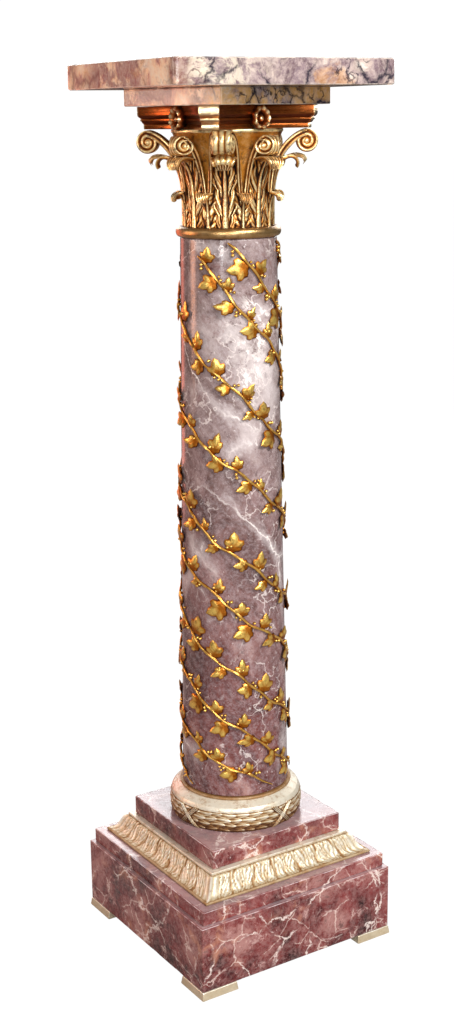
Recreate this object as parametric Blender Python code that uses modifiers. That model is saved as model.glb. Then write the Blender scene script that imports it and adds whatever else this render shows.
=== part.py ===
"""Marble pedestal column in gilt-bronze mounts.

Square marble base on four brass feet, leaf moulding, laurel base ring, tapering shaft with four
strands of ivy, neck ring, leafy capital, abacus and two turned marble slabs. Metres, +Z up; the
origin is on the floor under the column's axis. The base is square to X and Y.
"""
import math

import bmesh
import bpy
import numpy as np
from mathutils import Matrix

# Clearance between two pieces that touch
GAP = 0.0003

# Points nearer than this are one point
WELD = 0.000001

# Shaft of mauve marble, a straight taper
SHAFT_LENGTH = 0.7315
SHAFT_FOOT_RADIUS = 0.0718
SHAFT_NECK_RADIUS = 0.0607
SHAFT_SIDES = 36

# Laurel base ring: reaches are measured outward from the foot of the shaft
RING_HEIGHT = 0.0440
RING_TORUS_REACH = 0.0192
RING_FILLET_REACH = 0.0042
RING_FILLET_HEIGHT = 0.0036
RING_FOOT_REACH = 0.0105
RING_FILLET_UNDERCUT = 0.0012
RING_LEAF_RELIEF = 0.0012
RING_COLUMNS = 28
RING_TORUS_ANGLES = (-38.0, -12.0, 14.0, 40.0)

# Square marble slabs of the base; a ledge is the shelf left all round the piece above
PLINTH_LEDGE = 0.0110
PLINTH_HEIGHT = 0.0257
MOULDING_LEDGE = 0.0060
MOULDING_SPREAD = 0.0243
MOULDING_HEIGHT = 0.0290
MOULDING_FOOT_FILLET = 0.0035
MOULDING_TOP_FILLET = 0.0032
MOULDING_LEAF_RELIEF = 0.0014
MOULDING_LEAVES = 6
MOULDING_CURVE = (0.22, 0.44, 0.66, 0.86)
MOULDING_VALLEY = -0.6
STEP_LEDGE = 0.0125
STEP_HEIGHT = 0.0187
BLOCK_LEDGE = 0.0058
BLOCK_HEIGHT = 0.0896
MARBLE_EDGE = 0.0015

# Brass feet under the block's corners
FOOT_SIDE = 0.0550
FOOT_HEIGHT = 0.0110
FOOT_LIP = 0.0030
FOOT_TAPER = 0.0020

# Plain ring at the neck of the shaft
NECK_RING_HEIGHT = 0.0128
NECK_RING_REACH = 0.0063
NECK_RING_SIDES = 28

# Capital: bell, leaves and scrolls; heights are above the underside of the bell
CAPITAL_HEIGHT = 0.1170
CAPITAL_TURN = 8.4
BELL_SET_IN = 0.0072
BELL_LIP_RADIUS = 0.0694
BELL_LIP_HEIGHT = 0.0040
BELL_UNDERCUT = 0.0012
BELL_SIDES = 16
LEAF_ROOT_REACH = 0.0035
LEAF_FOOT_RISE = 0.0006
LEAF_FOLD = 0.0080
LEAF_TIP_FOLD = 0.0026
LEAF_HOLLOW = 0.0012
LEAF_RIB = 0.0016
UPPER_LEAF_HEIGHT = 0.0800
UPPER_LEAF_REACH = 0.0290
UPPER_LEAF_WIDTH = 0.0330
UPPER_LEAF_CURL = 0.0058
UPPER_LEAF_ROWS = 8
LOWER_LEAF_HEIGHT = 0.0375
LOWER_LEAF_REACH = 0.0115
LOWER_LEAF_WIDTH = 0.0200
LOWER_LEAF_CURL = 0.0040
LOWER_LEAF_ROWS = 5
CORNER_SCROLL_REACH = 0.0980
CORNER_SCROLL_HEIGHT = 0.1020
CORNER_SCROLL_RADIUS = 0.0145
CORNER_SCROLL_WIDTH = 0.0230
INNER_SCROLL_REACH = 0.0780
INNER_SCROLL_HEIGHT = 0.0975
INNER_SCROLL_RADIUS = 0.0112
INNER_SCROLL_WIDTH = 0.0130
SCROLL_GROOVE = 0.0022
SCROLL_RIM = 0.28
SCROLL_WINDING = 0.20
SCROLL_SIDES = 10
STEM_SPREAD = 20.6
STEM_STANDOFF = 0.0035
STEM_CUP_DEPTH = 0.0060
STEM_FOOT_RADIUS = 0.0022
STEM_TOP_RADIUS = 0.0042
TONGUE_REACH = 0.0990
TONGUE_CREST = 0.0870
TONGUE_DROP = 0.0085
TONGUE_WIDTH = 0.0250
TONGUE_THICKNESS = 0.0032

# Abacus: hollow-sided plate with cut corners
ABACUS_TURN = 1.0
ABACUS_HEIGHT = 0.0272
ABACUS_TIP_RADIUS = 0.1110
ABACUS_TIP_WIDTH = 0.0240
ABACUS_WAIST = 0.0700
ABACUS_FOOT_INSET = 0.0080
ABACUS_HOLLOW_INSET = 0.0050
ABACUS_BEAD_INSET = 0.0036
FLOWER_RADIUS = 0.0125
FLOWER_STRETCH = 1.15
FLOWER_REACH = 0.0085
FLOWER_LEVEL = 0.0100
FLOWER_BOSS = 0.0120
FLOWER_SIDES = 8

# Marble slabs of the top, each turned a little on the axis
UNDER_SLAB_SIDE = 0.1806
UNDER_SLAB_HEIGHT = 0.0207
UNDER_SLAB_TURN = 9.15
TOP_SLAB_SIDE = 0.2965
TOP_SLAB_HEIGHT = 0.0305
TOP_SLAB_TURN = -3.55

# Ivy strands: the angle at which each starts, and as shares of the shaft's length how far below
# the neck it starts, its fall in the first turn, and how much of that each further turn loses
IVY_STRANDS = (
    (236.0, 0.0055, 0.6015, 0.0656),
    (200.0, 0.0273, 0.6535, 0.0848),
    (80.0, 0.0055, 0.5728, 0.0314),
    (306.0, 0.0055, 0.4744, 0.0000),
)
IVY_STEM_RADIUS = 0.0017
IVY_FOOT_CLEARANCE = 0.0080
IVY_LEAF_SPACING = 0.0480
IVY_LEAF_LENGTH = 0.0175
IVY_LEAF_WIDTH = 0.0150
IVY_LEAF_LIFT = 0.0046
IVY_LEAF_CLEARANCE = 0.0005
IVY_MEANDER = 0.0030
IVY_MEANDERS = 5.0
IVY_LEAF_TURN = 48.0
IVY_LEAF_TURN_RANGE = 34.0
GOLDEN_SHARE = 0.61803

# Levels from the floor up
BLOCK_FOOT = FOOT_HEIGHT + GAP
STEP_FOOT = BLOCK_FOOT + BLOCK_HEIGHT + GAP
MOULDING_FOOT = STEP_FOOT + STEP_HEIGHT + GAP
PLINTH_FOOT = MOULDING_FOOT + MOULDING_HEIGHT + GAP
RING_FOOT = PLINTH_FOOT + PLINTH_HEIGHT + GAP
SHAFT_FOOT = RING_FOOT + RING_HEIGHT + GAP
NECK_FOOT = SHAFT_FOOT + SHAFT_LENGTH + GAP
CAPITAL_FOOT = NECK_FOOT + NECK_RING_HEIGHT + GAP
ABACUS_FOOT = CAPITAL_FOOT + CAPITAL_HEIGHT + GAP
UNDER_SLAB_FOOT = ABACUS_FOOT + ABACUS_HEIGHT + GAP
TOP_SLAB_FOOT = UNDER_SLAB_FOOT + UNDER_SLAB_HEIGHT + GAP

# Sides of the square pieces, each from the piece above it
TORUS_RADIUS = SHAFT_FOOT_RADIUS + RING_TORUS_REACH
PLINTH_SIDE = 2 * (TORUS_RADIUS + PLINTH_LEDGE)
MOULDING_TOP_SIDE = PLINTH_SIDE + 2 * MOULDING_LEDGE
MOULDING_FOOT_SIDE = MOULDING_TOP_SIDE + 2 * MOULDING_SPREAD
STEP_SIDE = MOULDING_FOOT_SIDE + 2 * STEP_LEDGE
BLOCK_SIDE = STEP_SIDE + 2 * BLOCK_LEDGE
BELL_FOOT_RADIUS = SHAFT_NECK_RADIUS - BELL_SET_IN
LEAF_ROOT_RADIUS = BELL_FOOT_RADIUS + LEAF_ROOT_REACH

# A stem has two straight runs for each leaf, and each leaf springs from the middle of a run
IVY_STATION = IVY_LEAF_SPACING / 2

# Height of a stem's stations above the shaft, so that the straight runs between them stay clear
IVY_STEM_STANDOFF = GAP + IVY_STEM_RADIUS + IVY_STATION ** 2 / (8 * SHAFT_NECK_RADIUS)


def clear_scene():
    """Remove every object that the file opened with."""
    for item in list(bpy.data.objects):
        bpy.data.objects.remove(item, do_unlink=True)


def make_collection(name):
    """A new collection linked to the scene."""
    group = bpy.data.collections.new(name)
    bpy.context.scene.collection.children.link(group)
    return group


def make_material(name, colour, roughness, metallic):
    """A Principled material with one colour."""
    material = bpy.data.materials.new(name)
    material.use_nodes = True
    shader = material.node_tree.nodes["Principled BSDF"]
    shader.inputs["Base Color"].default_value = (*colour, 1.0)
    shader.inputs["Roughness"].default_value = roughness
    shader.inputs["Metallic"].default_value = metallic
    return material


def add_object(name, mesh, material=None):
    """Put a mesh in the column's collection under a node name."""
    item = bpy.data.objects.new(name, mesh)
    COLUMN.objects.link(item)
    if material is not None:
        mesh.materials.append(material)
    return item


def mesh_from_faces(name, points, faces):
    """A mesh from computed points and faces, facing outward."""
    mesh = bpy.data.meshes.new(name)
    mesh.from_pydata([tuple(p) for p in points], [], faces)
    form = bmesh.new()
    form.from_mesh(mesh)
    bmesh.ops.recalc_face_normals(form, faces=form.faces)
    form.to_mesh(mesh)
    form.free()
    return mesh


def settle(item):
    """Replace an object by the plain mesh that its curve or modifiers make, caps welded."""
    bpy.context.view_layer.update()
    graph = bpy.context.evaluated_depsgraph_get()
    mesh = bpy.data.meshes.new_from_object(item.evaluated_get(graph))
    place = item.matrix_world.copy()
    name = item.name
    bpy.data.objects.remove(item, do_unlink=True)
    form = bmesh.new()
    form.from_mesh(mesh)
    form.transform(place)
    bmesh.ops.remove_doubles(form, verts=form.verts, dist=WELD)
    bmesh.ops.recalc_face_normals(form, faces=form.faces)
    form.to_mesh(mesh)
    form.free()
    return add_object(name, mesh)


def join_apart(name, items):
    """One mesh of several closed forms that stay clear of each other."""
    form = bmesh.new()
    for item in items:
        form.from_mesh(item.data)
        bpy.data.objects.remove(item, do_unlink=True)
    mesh = bpy.data.meshes.new(name)
    form.to_mesh(mesh)
    form.free()
    return add_object(name, mesh)


def unite(base, additions):
    """Boolean union of the base with each addition in turn, as one settled body."""
    for number, addition in enumerate(additions):
        union = base.modifiers.new("union_%d" % number, "BOOLEAN")
        union.operation = "UNION"
        union.solver = "EXACT"
        union.object = addition
        addition.hide_render = True
        addition.display_type = "WIRE"
        CUTTERS.objects.link(addition)
        COLUMN.objects.unlink(addition)
    body = settle(base)
    for addition in additions:
        bpy.data.objects.remove(addition, do_unlink=True)
    return body


def shade_round(item, angle=35.0):
    """Smooth shading with sharp edges kept where faces turn by more than the angle."""
    item.data.shade_smooth()
    item.data.set_sharp_from_angle(angle=math.radians(angle))


def square_slab(name, side, foot, height, edge, material, turn=0.0):
    """A square slab with softened edges, standing at a level and turned on the axis."""
    bpy.ops.mesh.primitive_cube_add(size=1.0, location=(0.0, 0.0, foot + height / 2))
    slab = bpy.context.object
    slab.name = name
    slab.data.name = name
    slab.data.transform(Matrix.Diagonal((side, side, height, 1.0)))
    slab.rotation_euler.z = math.radians(turn)
    for group in list(slab.users_collection):
        group.objects.unlink(slab)
    COLUMN.objects.link(slab)
    soft = slab.modifiers.new("edges", "BEVEL")
    soft.width = edge
    soft.segments = 1
    soft.limit_method = "ANGLE"
    slab.data.materials.append(material)
    return slab


def turned(name, profile, steps, material=None):
    """A turned solid: the profile runs from the axis down the outer side and back to the axis."""
    mesh = bpy.data.meshes.new(name)
    points = [(radius, 0.0, height) for radius, height in profile]
    edges = [(k, k + 1) for k in range(len(points) - 1)]
    mesh.from_pydata(points, edges, [])
    item = add_object(name, mesh, material)
    screw = item.modifiers.new("turn", "SCREW")
    screw.axis = "Z"
    screw.angle = math.tau
    screw.steps = steps
    screw.render_steps = steps
    screw.use_merge_vertices = True
    screw.merge_threshold = 0.00005
    screw.use_normal_calculate = True
    return item


def polar(radius, angle, height):
    """Point at a radius and an angle in degrees about the axis."""
    turn = math.radians(angle)
    return np.array((radius * math.cos(turn), radius * math.sin(turn), height))


def in_radial_plane(angle, outward, aside, level):
    """Grid of points from outward distances, sideways distances and heights at an angle in degrees."""
    return (outward[..., None] * polar(1.0, angle, 0.0) + aside[..., None] * polar(1.0, angle + 90.0, 0.0)
            + level[..., None] * np.array((0.0, 0.0, 1.0)))


def leaf_solid(name, front):
    """A closed leaf in relief: a grid of rows in front, straight across from rim to rim behind."""
    rows, columns = front.shape[:2]
    faces = []
    for row in range(rows - 1):
        for column in range(columns - 1):
            near = row * columns + column
            faces.append((near, near + 1, near + columns + 1, near + columns))
        near = row * columns
        faces.append((near, near + columns, near + 2 * columns - 1, near + columns - 1))
    faces.append(tuple(reversed(range(columns))))
    faces.append(tuple(range((rows - 1) * columns, rows * columns)))
    return add_object(name, mesh_from_faces(name, front.reshape(-1, 3), faces))


def foot(name, side_x, side_y, material):
    """A square brass foot at one corner: an upright lip below, the sides drawn in above it."""
    centre = BLOCK_SIDE / 2 + FOOT_TAPER - FOOT_SIDE / 2
    levels = ((0.0, FOOT_SIDE), (FOOT_LIP, FOOT_SIDE), (FOOT_HEIGHT, FOOT_SIDE - 2 * FOOT_TAPER))
    points = []
    for height, side in levels:
        for turn in (45, 135, 225, 315):
            corner = polar(side / math.sqrt(2), turn, height)
            points.append(corner + (side_x * centre, side_y * centre, 0.0))
    faces = [(3, 2, 1, 0), (8, 9, 10, 11)]
    for level in (0, 4):
        for k in range(4):
            faces.append((level + k, level + (k + 1) % 4, level + 4 + (k + 1) % 4, level + 4 + k))
    return add_object(name, mesh_from_faces(name, points, faces), material)


def moulding_section():
    """Outward distances and heights of the leaf moulding's side, bottom to top, with relief shares."""
    top = MOULDING_TOP_SIDE / 2
    crown = MOULDING_HEIGHT - MOULDING_TOP_FILLET
    low = MOULDING_FOOT_FILLET
    rows = [(top + MOULDING_SPREAD, 0.0, 0.0), (top + MOULDING_SPREAD, low, 0.0)]
    for share in MOULDING_CURVE:
        inward = share + 0.12 * math.sin(math.pi * share)
        rise = share - 0.16 * math.sin(math.tau * share)
        rows.append((top + MOULDING_SPREAD * (1 - inward), low + (crown - low) * rise,
                     math.sin(math.pi * share)))
    rows.append((top, crown, 0.0))
    rows.append((top, MOULDING_HEIGHT, 0.0))
    return rows


def leaf_moulding(material):
    """The square moulding: its section carried round four mitred sides, upright leaves as ridges."""
    rows = moulding_section()
    slots = 2 * MOULDING_LEAVES
    points = []
    for side in range(4):
        outward = polar(1.0, 90.0 * side, 0.0)
        along = polar(1.0, 90.0 * side + 90.0, 0.0)
        for slot in range(slots):
            share = 2.0 * slot / slots - 1.0
            ridge = 1.0 if slot % 2 else MOULDING_VALLEY
            if slot == 0:
                ridge = 0.0
            for distance, height, relief in rows:
                reach = distance + ridge * relief * MOULDING_LEAF_RELIEF
                point = outward * reach + along * share * reach
                point[2] = MOULDING_FOOT + height
                points.append(point)
    count = len(rows)
    stations = 4 * slots
    faces = []
    for station in range(stations):
        after = (station + 1) % stations
        for row in range(count - 1):
            faces.append((station * count + row, after * count + row,
                          after * count + row + 1, station * count + row + 1))
    faces.append(tuple(station * count for station in reversed(range(stations))))
    faces.append(tuple(station * count + count - 1 for station in range(stations)))
    return add_object("leaf_moulding", mesh_from_faces("leaf_moulding", points, faces), material)


def ring_section():
    """Radii and heights of the laurel ring's side, bottom to top, with relief shares."""
    foot_radius = SHAFT_FOOT_RADIUS + RING_FOOT_REACH
    fillet = SHAFT_FOOT_RADIUS + RING_FILLET_REACH
    neck = RING_HEIGHT - RING_FILLET_HEIGHT
    rows = [(foot_radius, 0.0, 0.0)]
    for angle in RING_TORUS_ANGLES:
        turn = math.radians(angle)
        radius = foot_radius + (TORUS_RADIUS - foot_radius) * math.cos(turn) ** 0.7
        rows.append((radius, neck * (0.42 + 0.50 * math.sin(turn)), 1.0))
    rows.append((fillet + 0.35 * (TORUS_RADIUS - fillet), neck * 0.93, 0.0))
    rows.append((fillet - RING_FILLET_UNDERCUT, neck, 0.0))
    rows.append((fillet, neck + RING_FILLET_HEIGHT / 2, 0.0))
    rows.append((fillet - RING_FILLET_UNDERCUT, RING_HEIGHT, 0.0))
    return rows


def laurel_ring(material):
    """The base ring: its section turned, with rows of staggered leaf tips raised on the torus."""
    rows = ring_section()
    count = len(rows)
    points = []
    for column in range(RING_COLUMNS):
        for row, (radius, height, relief) in enumerate(rows):
            sunk = 0.0 if (column + row) % 2 else 2.0 * relief * RING_LEAF_RELIEF
            angle = 360.0 * column / RING_COLUMNS
            points.append(polar(radius - sunk, angle, RING_FOOT + height))
    faces = []
    for column in range(RING_COLUMNS):
        after = (column + 1) % RING_COLUMNS
        for row in range(count - 1):
            faces.append((column * count + row, after * count + row,
                          after * count + row + 1, column * count + row + 1))
    faces.append(tuple(column * count for column in reversed(range(RING_COLUMNS))))
    faces.append(tuple(column * count + count - 1 for column in range(RING_COLUMNS)))
    return add_object("laurel_ring", mesh_from_faces("laurel_ring", points, faces), material)


def shaft(material):
    """The tapering marble shaft."""
    bpy.ops.mesh.primitive_cone_add(vertices=SHAFT_SIDES, radius1=SHAFT_FOOT_RADIUS,
                                    radius2=SHAFT_NECK_RADIUS, depth=SHAFT_LENGTH,
                                    location=(0.0, 0.0, SHAFT_FOOT + SHAFT_LENGTH / 2))
    item = bpy.context.object
    item.name = "shaft"
    for group in list(item.users_collection):
        group.objects.unlink(item)
    COLUMN.objects.link(item)
    item.data.materials.append(material)
    shade_round(item)
    return item


def neck_ring(material):
    """A plain half-round ring between shaft and capital."""
    bulge = NECK_RING_HEIGHT / 2
    centre = SHAFT_NECK_RADIUS + NECK_RING_REACH - bulge
    profile = [(0.0, NECK_RING_HEIGHT)]
    for angle in (90.0, 30.0, -30.0, -90.0):
        turn = math.radians(angle)
        profile.append((centre + bulge * max(math.cos(turn), 0.25), bulge + bulge * math.sin(turn)))
    profile.append((0.0, 0.0))
    profile = [(radius, NECK_FOOT + height) for radius, height in profile]
    item = turned("neck_ring", profile, NECK_RING_SIDES, material)
    shade_round(item)
    return item


def bell_radius(height):
    """Radius of the bell: nearly straight below, spreading to the lip above."""
    share = np.clip(height / (CAPITAL_HEIGHT - BELL_LIP_HEIGHT), 0.0, 1.0)
    return BELL_FOOT_RADIUS + (BELL_LIP_RADIUS - BELL_FOOT_RADIUS) * share ** 3.4


def bell():
    """The bell of the capital with its thin lip."""
    under_lip = CAPITAL_HEIGHT - BELL_LIP_HEIGHT
    profile = [(0.0, CAPITAL_HEIGHT), (BELL_LIP_RADIUS, CAPITAL_HEIGHT), (BELL_LIP_RADIUS, under_lip)]
    for share in (0.92, 0.78, 0.55):
        profile.append((bell_radius(share * under_lip) - BELL_UNDERCUT, share * under_lip))
    profile.append((BELL_FOOT_RADIUS, 0.0))
    profile.append((0.0, 0.0))
    return settle(turned("bell", profile, BELL_SIDES))


def leaf_line(height, reach, curl, climb, turn_over):
    """Centre line of a curling leaf, root to tip: outward distance, height and outward normal.

    The line climbs as a flattened quarter ellipse, outward distance (1 - cos u) to the power 1.6
    against height sin u, then turns over on a small arc of radius curl.
    """
    climb = np.radians(climb)
    turn_over = np.radians(turn_over)
    out = np.concatenate(((reach - curl) * (1 - np.cos(climb)) ** 1.6,
                          reach - curl + curl * np.sin(turn_over)))
    up = np.concatenate((height * np.sin(climb), height - curl + curl * np.cos(turn_over)))
    slope_out = np.gradient(out)
    slope_up = np.gradient(up)
    length = np.hypot(slope_out, slope_up)
    return out, up, slope_up / length, -slope_out / length


def acanthus(name, angle, height, reach, width, curl, rows):
    """One acanthus leaf in relief: raised rib, two rounded halves, edges folded back to the bell."""
    climb = np.linspace(0.0, 88.0, rows - 3)
    out, up, normal_out, normal_up = leaf_line(height, reach, curl, climb, (38.0, 76.0, 112.0))
    share = np.linspace(0.0, 1.0, rows)
    scallop = np.where(np.arange(rows) % 2 == 1, 1.0, 0.86)
    half_width = width / 2 * scallop * (1.0 - 0.5 * share ** 4)
    across = np.array((-1.0, -0.5, 0.0, 0.5, 1.0))
    fold = LEAF_FOLD + (LEAF_TIP_FOLD - LEAF_FOLD) * np.clip(1.6 * share - 0.3, 0.0, 1.0)
    hollow = np.full(rows, LEAF_HOLLOW)
    rib = LEAF_RIB * (1.0 - 0.5 * share)
    lift = np.stack((-fold, -hollow, rib, -hollow, -fold), axis=1)
    distance = LEAF_ROOT_RADIUS + out[:, None] + lift * normal_out[:, None]
    level = LEAF_FOOT_RISE + up[:, None] + lift * normal_up[:, None]
    level[0, :] = LEAF_FOOT_RISE
    aside = half_width[:, None] * across[None, :]
    front = in_radial_plane(angle, distance, aside, level)
    return leaf_solid(name, front)


def tongue(name, angle):
    """The plain curved leaf under a corner scroll: a shallow arch from the bell outwards."""
    root = BELL_FOOT_RADIUS
    out = np.linspace(root, TONGUE_REACH, 6)
    crest = root + 0.60 * (TONGUE_REACH - root)
    up = TONGUE_CREST - TONGUE_DROP * ((out - crest) / (TONGUE_REACH - crest)) ** 2
    width = TONGUE_WIDTH * np.array((0.62, 0.80, 0.95, 1.00, 0.86, 0.50))
    across = np.array((-0.5, 0.0, 0.5))
    level = up[:, None] - TONGUE_THICKNESS * np.array((1.0, 0.0, 1.0))
    distance = np.repeat(out[:, None], 3, axis=1)
    aside = width[:, None] * across[None, :]
    front = in_radial_plane(angle, distance, aside, level)
    return leaf_solid(name, front)


def scroll(name, angle, reach, height, radius, width):
    """A scroll drum in the radial plane: its rim winds in by a share of its radius over one turn.

    The rim stands proud of the web by the groove's depth on both faces. The step between the
    first and the last column is where the rim starts to wind.
    """
    columns = SCROLL_SIDES
    winding = SCROLL_WINDING * np.arange(columns) / columns
    outer = radius * (1.0 - winding)
    inner = outer - SCROLL_RIM * radius
    turn = math.pi / 2 - math.tau * np.arange(columns) / columns
    half = width / 2
    rows = ((inner, half - SCROLL_GROOVE), (inner, half), (outer, half),
            (outer, -half), (inner, -half), (inner, SCROLL_GROOVE - half))
    radial = polar(1.0, angle, 0.0)
    sideways = polar(1.0, angle + 90.0, 0.0)
    centre = polar(reach, angle, height)
    points = []
    for distances, aside in rows:
        for distance, around in zip(distances, turn):
            points.append(centre + radial * distance * math.cos(around) + sideways * aside
                          + np.array((0.0, 0.0, distance * math.sin(around))))
    faces = [tuple(range(columns)), tuple(reversed(range(5 * columns, 6 * columns)))]
    for row in range(len(rows) - 1):
        for column in range(columns):
            near = row * columns + column
            after = row * columns + (column + 1) % columns
            faces.append((near, after, after + columns, near + columns))
    return add_object(name, mesh_from_faces(name, points, faces))


def stem(name, points, start_radius, end_radius):
    """A stem: a tube through a few points, growing from its start to its end."""
    curve = bpy.data.curves.new(name, "CURVE")
    curve.dimensions = "3D"
    curve.bevel_depth = 1.0
    curve.bevel_resolution = 0
    curve.use_fill_caps = True
    spline = curve.splines.new("POLY")
    spline.points.add(len(points) - 1)
    for place, (point, co) in enumerate(zip(spline.points, points)):
        point.co = (*co, 1.0)
        point.radius = start_radius + (end_radius - start_radius) * place / (len(points) - 1)
    item = bpy.data.objects.new(name, curve)
    COLUMN.objects.link(item)
    return settle(item)


def stem_points(angle, side, reach, height, radius, width):
    """Points of a stem from its cup on the bell up to its own half of a scroll's top."""
    end_aside = math.degrees(0.24 * width / reach)
    start = LOWER_LEAF_HEIGHT - STEM_CUP_DEPTH
    top = height + radius - STEM_TOP_RADIUS - GAP
    places = []
    for share in (0.0, 0.36, 0.72, 1.0):
        level = start + (top - start) * (1 - (1 - share) ** 1.5)
        wall = bell_radius(level) + STEM_STANDOFF
        outward = wall + (reach - 0.30 * radius - wall) * share ** 3.2
        aside = side * (end_aside + (STEM_SPREAD - end_aside) * (1 - share) ** 0.85)
        places.append(polar(outward, angle + aside, level))
    return places


def capital(material):
    """The leafy body of the capital, one casting: bell, two tiers of leaves, stems and scrolls."""
    upper, lower, tongues, drums = [], [], [], []
    stems = {1: [], -1: []}
    for k in range(8):
        angle = 45.0 * k + 45.0
        upper.append(acanthus("upper_%d" % k, angle, UPPER_LEAF_HEIGHT, UPPER_LEAF_REACH,
                              UPPER_LEAF_WIDTH, UPPER_LEAF_CURL, UPPER_LEAF_ROWS))
        lower.append(acanthus("lower_%d" % k, angle + 22.5, LOWER_LEAF_HEIGHT, LOWER_LEAF_REACH,
                              LOWER_LEAF_WIDTH, LOWER_LEAF_CURL, LOWER_LEAF_ROWS))
        corner = k % 2 == 0
        reach = CORNER_SCROLL_REACH if corner else INNER_SCROLL_REACH
        height = CORNER_SCROLL_HEIGHT if corner else INNER_SCROLL_HEIGHT
        radius = CORNER_SCROLL_RADIUS if corner else INNER_SCROLL_RADIUS
        width = CORNER_SCROLL_WIDTH if corner else INNER_SCROLL_WIDTH
        drums.append(scroll("scroll_%d" % k, angle, reach, height, radius, width))
        if corner:
            tongues.append(tongue("tongue_%d" % k, angle))
        for side in (1, -1):
            stems[side].append(stem("stem_%d_%d" % (k, side + 1),
                                    stem_points(angle, side, reach, height, radius, width),
                                    STEM_FOOT_RADIUS, STEM_TOP_RADIUS))
    additions = [join_apart("upper_leaves", upper), join_apart("lower_leaves", lower),
                 join_apart("tongues", tongues), join_apart("stems_left", stems[1]),
                 join_apart("stems_right", stems[-1]), join_apart("drums", drums)]
    body = unite(bell(), additions)
    body.name = "capital"
    body.data.name = "capital"
    body.data.transform(Matrix.Translation((0.0, 0.0, CAPITAL_FOOT)) @
                        Matrix.Rotation(math.radians(CAPITAL_TURN), 4, "Z"))
    body.data.materials.append(material)
    return body


def abacus_outline(inset):
    """Plan of the abacus, drawn in by an inset: four hollow arcs between cut corners."""
    tip = ABACUS_TIP_RADIUS - inset
    half_cut = ABACUS_TIP_WIDTH / 2 - 0.25 * inset
    waist = ABACUS_WAIST - inset
    end_out = (tip + half_cut) / math.sqrt(2)
    end_along = (tip - half_cut) / math.sqrt(2)
    points = []
    for side in range(4):
        for share in np.linspace(-1.0, 1.0, 6):
            out = waist + (end_out - waist) * share ** 2
            along = end_along * share
            x, y, _ = polar(out, 90.0 * side, 0.0) + polar(along, 90.0 * side + 90.0, 0.0)
            points.append((x, y))
    return points


def abacus(material):
    """The abacus: its plan stacked through a fillet, a hollow, a bead and the top band."""
    levels = ((0.0, ABACUS_FOOT_INSET), (0.20, ABACUS_FOOT_INSET), (0.33, ABACUS_HOLLOW_INSET),
              (0.46, ABACUS_BEAD_INSET), (0.60, 0.0), (1.0, 0.0))
    points = []
    for share, inset in levels:
        points += [(x, y, share * ABACUS_HEIGHT) for x, y in abacus_outline(inset)]
    count = len(points) // len(levels)
    faces = [tuple(reversed(range(count)))]
    faces.append(tuple(range(len(points) - count, len(points))))
    for level in range(len(levels) - 1):
        for k in range(count):
            low = level * count
            after = (k + 1) % count
            faces.append((low + k, low + after, low + count + after, low + count + k))
    plate = add_object("abacus", mesh_from_faces("abacus", points, faces))
    flowers = []
    flower_back = BELL_LIP_RADIUS + 2 * GAP
    for side in range(4):
        profile = ((0.0, FLOWER_REACH), (0.42, 0.30 * FLOWER_REACH), (0.76, 0.70 * FLOWER_REACH),
                   (1.0, 0.0), (0.5, 0.0), (0.5, -FLOWER_BOSS), (0.0, -FLOWER_BOSS))
        profile = [(radius * FLOWER_RADIUS, height) for radius, height in profile]
        flower = settle(turned("flower_%d" % side, profile, FLOWER_SIDES))
        flower.data.transform(Matrix.Translation(polar(flower_back, 90.0 * side, FLOWER_LEVEL))
                              @ Matrix.Rotation(math.radians(90.0 * side), 4, "Z")
                              @ Matrix.Diagonal((1.0, 1.0, FLOWER_STRETCH, 1.0))
                              @ Matrix.Rotation(math.pi / 2, 4, "Y"))
        flowers.append(flower)
    body = unite(plate, [join_apart("flowers", flowers)])
    body.data.transform(Matrix.Translation((0.0, 0.0, ABACUS_FOOT)) @
                        Matrix.Rotation(math.radians(ABACUS_TURN), 4, "Z"))
    body.data.materials.append(material)
    return body


def shaft_radius(level):
    """Radius of the shaft at a level above the floor."""
    share = (level - SHAFT_FOOT) / SHAFT_LENGTH
    return SHAFT_FOOT_RADIUS + (SHAFT_NECK_RADIUS - SHAFT_FOOT_RADIUS) * share


def strand_line(strand, turns):
    """Angle and level of a strand after a number of turns about the shaft, with its slight meander."""
    start_angle, start_drop, first_fall, easing = strand
    angle = start_angle + 360.0 * turns
    wave = IVY_MEANDER * np.sin(math.tau * IVY_MEANDERS * turns)
    height = 1.0 - start_drop - first_fall * turns + easing * turns ** 2
    return angle, SHAFT_FOOT + SHAFT_LENGTH * height + wave


def strand_points(strand):
    """Angles and levels along a strand at even steps of length, from the neck to just above the foot."""
    turns = np.linspace(0.0, 3.0, 1501)
    angle, level = strand_line(strand, turns)
    keep = level > SHAFT_FOOT + IVY_FOOT_CLEARANCE
    last = int(np.argmin(keep)) if not keep.all() else len(keep)
    angle, level = angle[:last], level[:last]
    aside = np.radians(np.diff(angle)) * shaft_radius(level[:-1])
    length = np.concatenate(((0.0,), np.cumsum(np.hypot(aside, np.diff(level)))))
    return angle, level, length


def on_shaft(angle, level, standoff):
    """Point above the shaft's surface."""
    return polar(shaft_radius(level) + standoff, angle, level)


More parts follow.
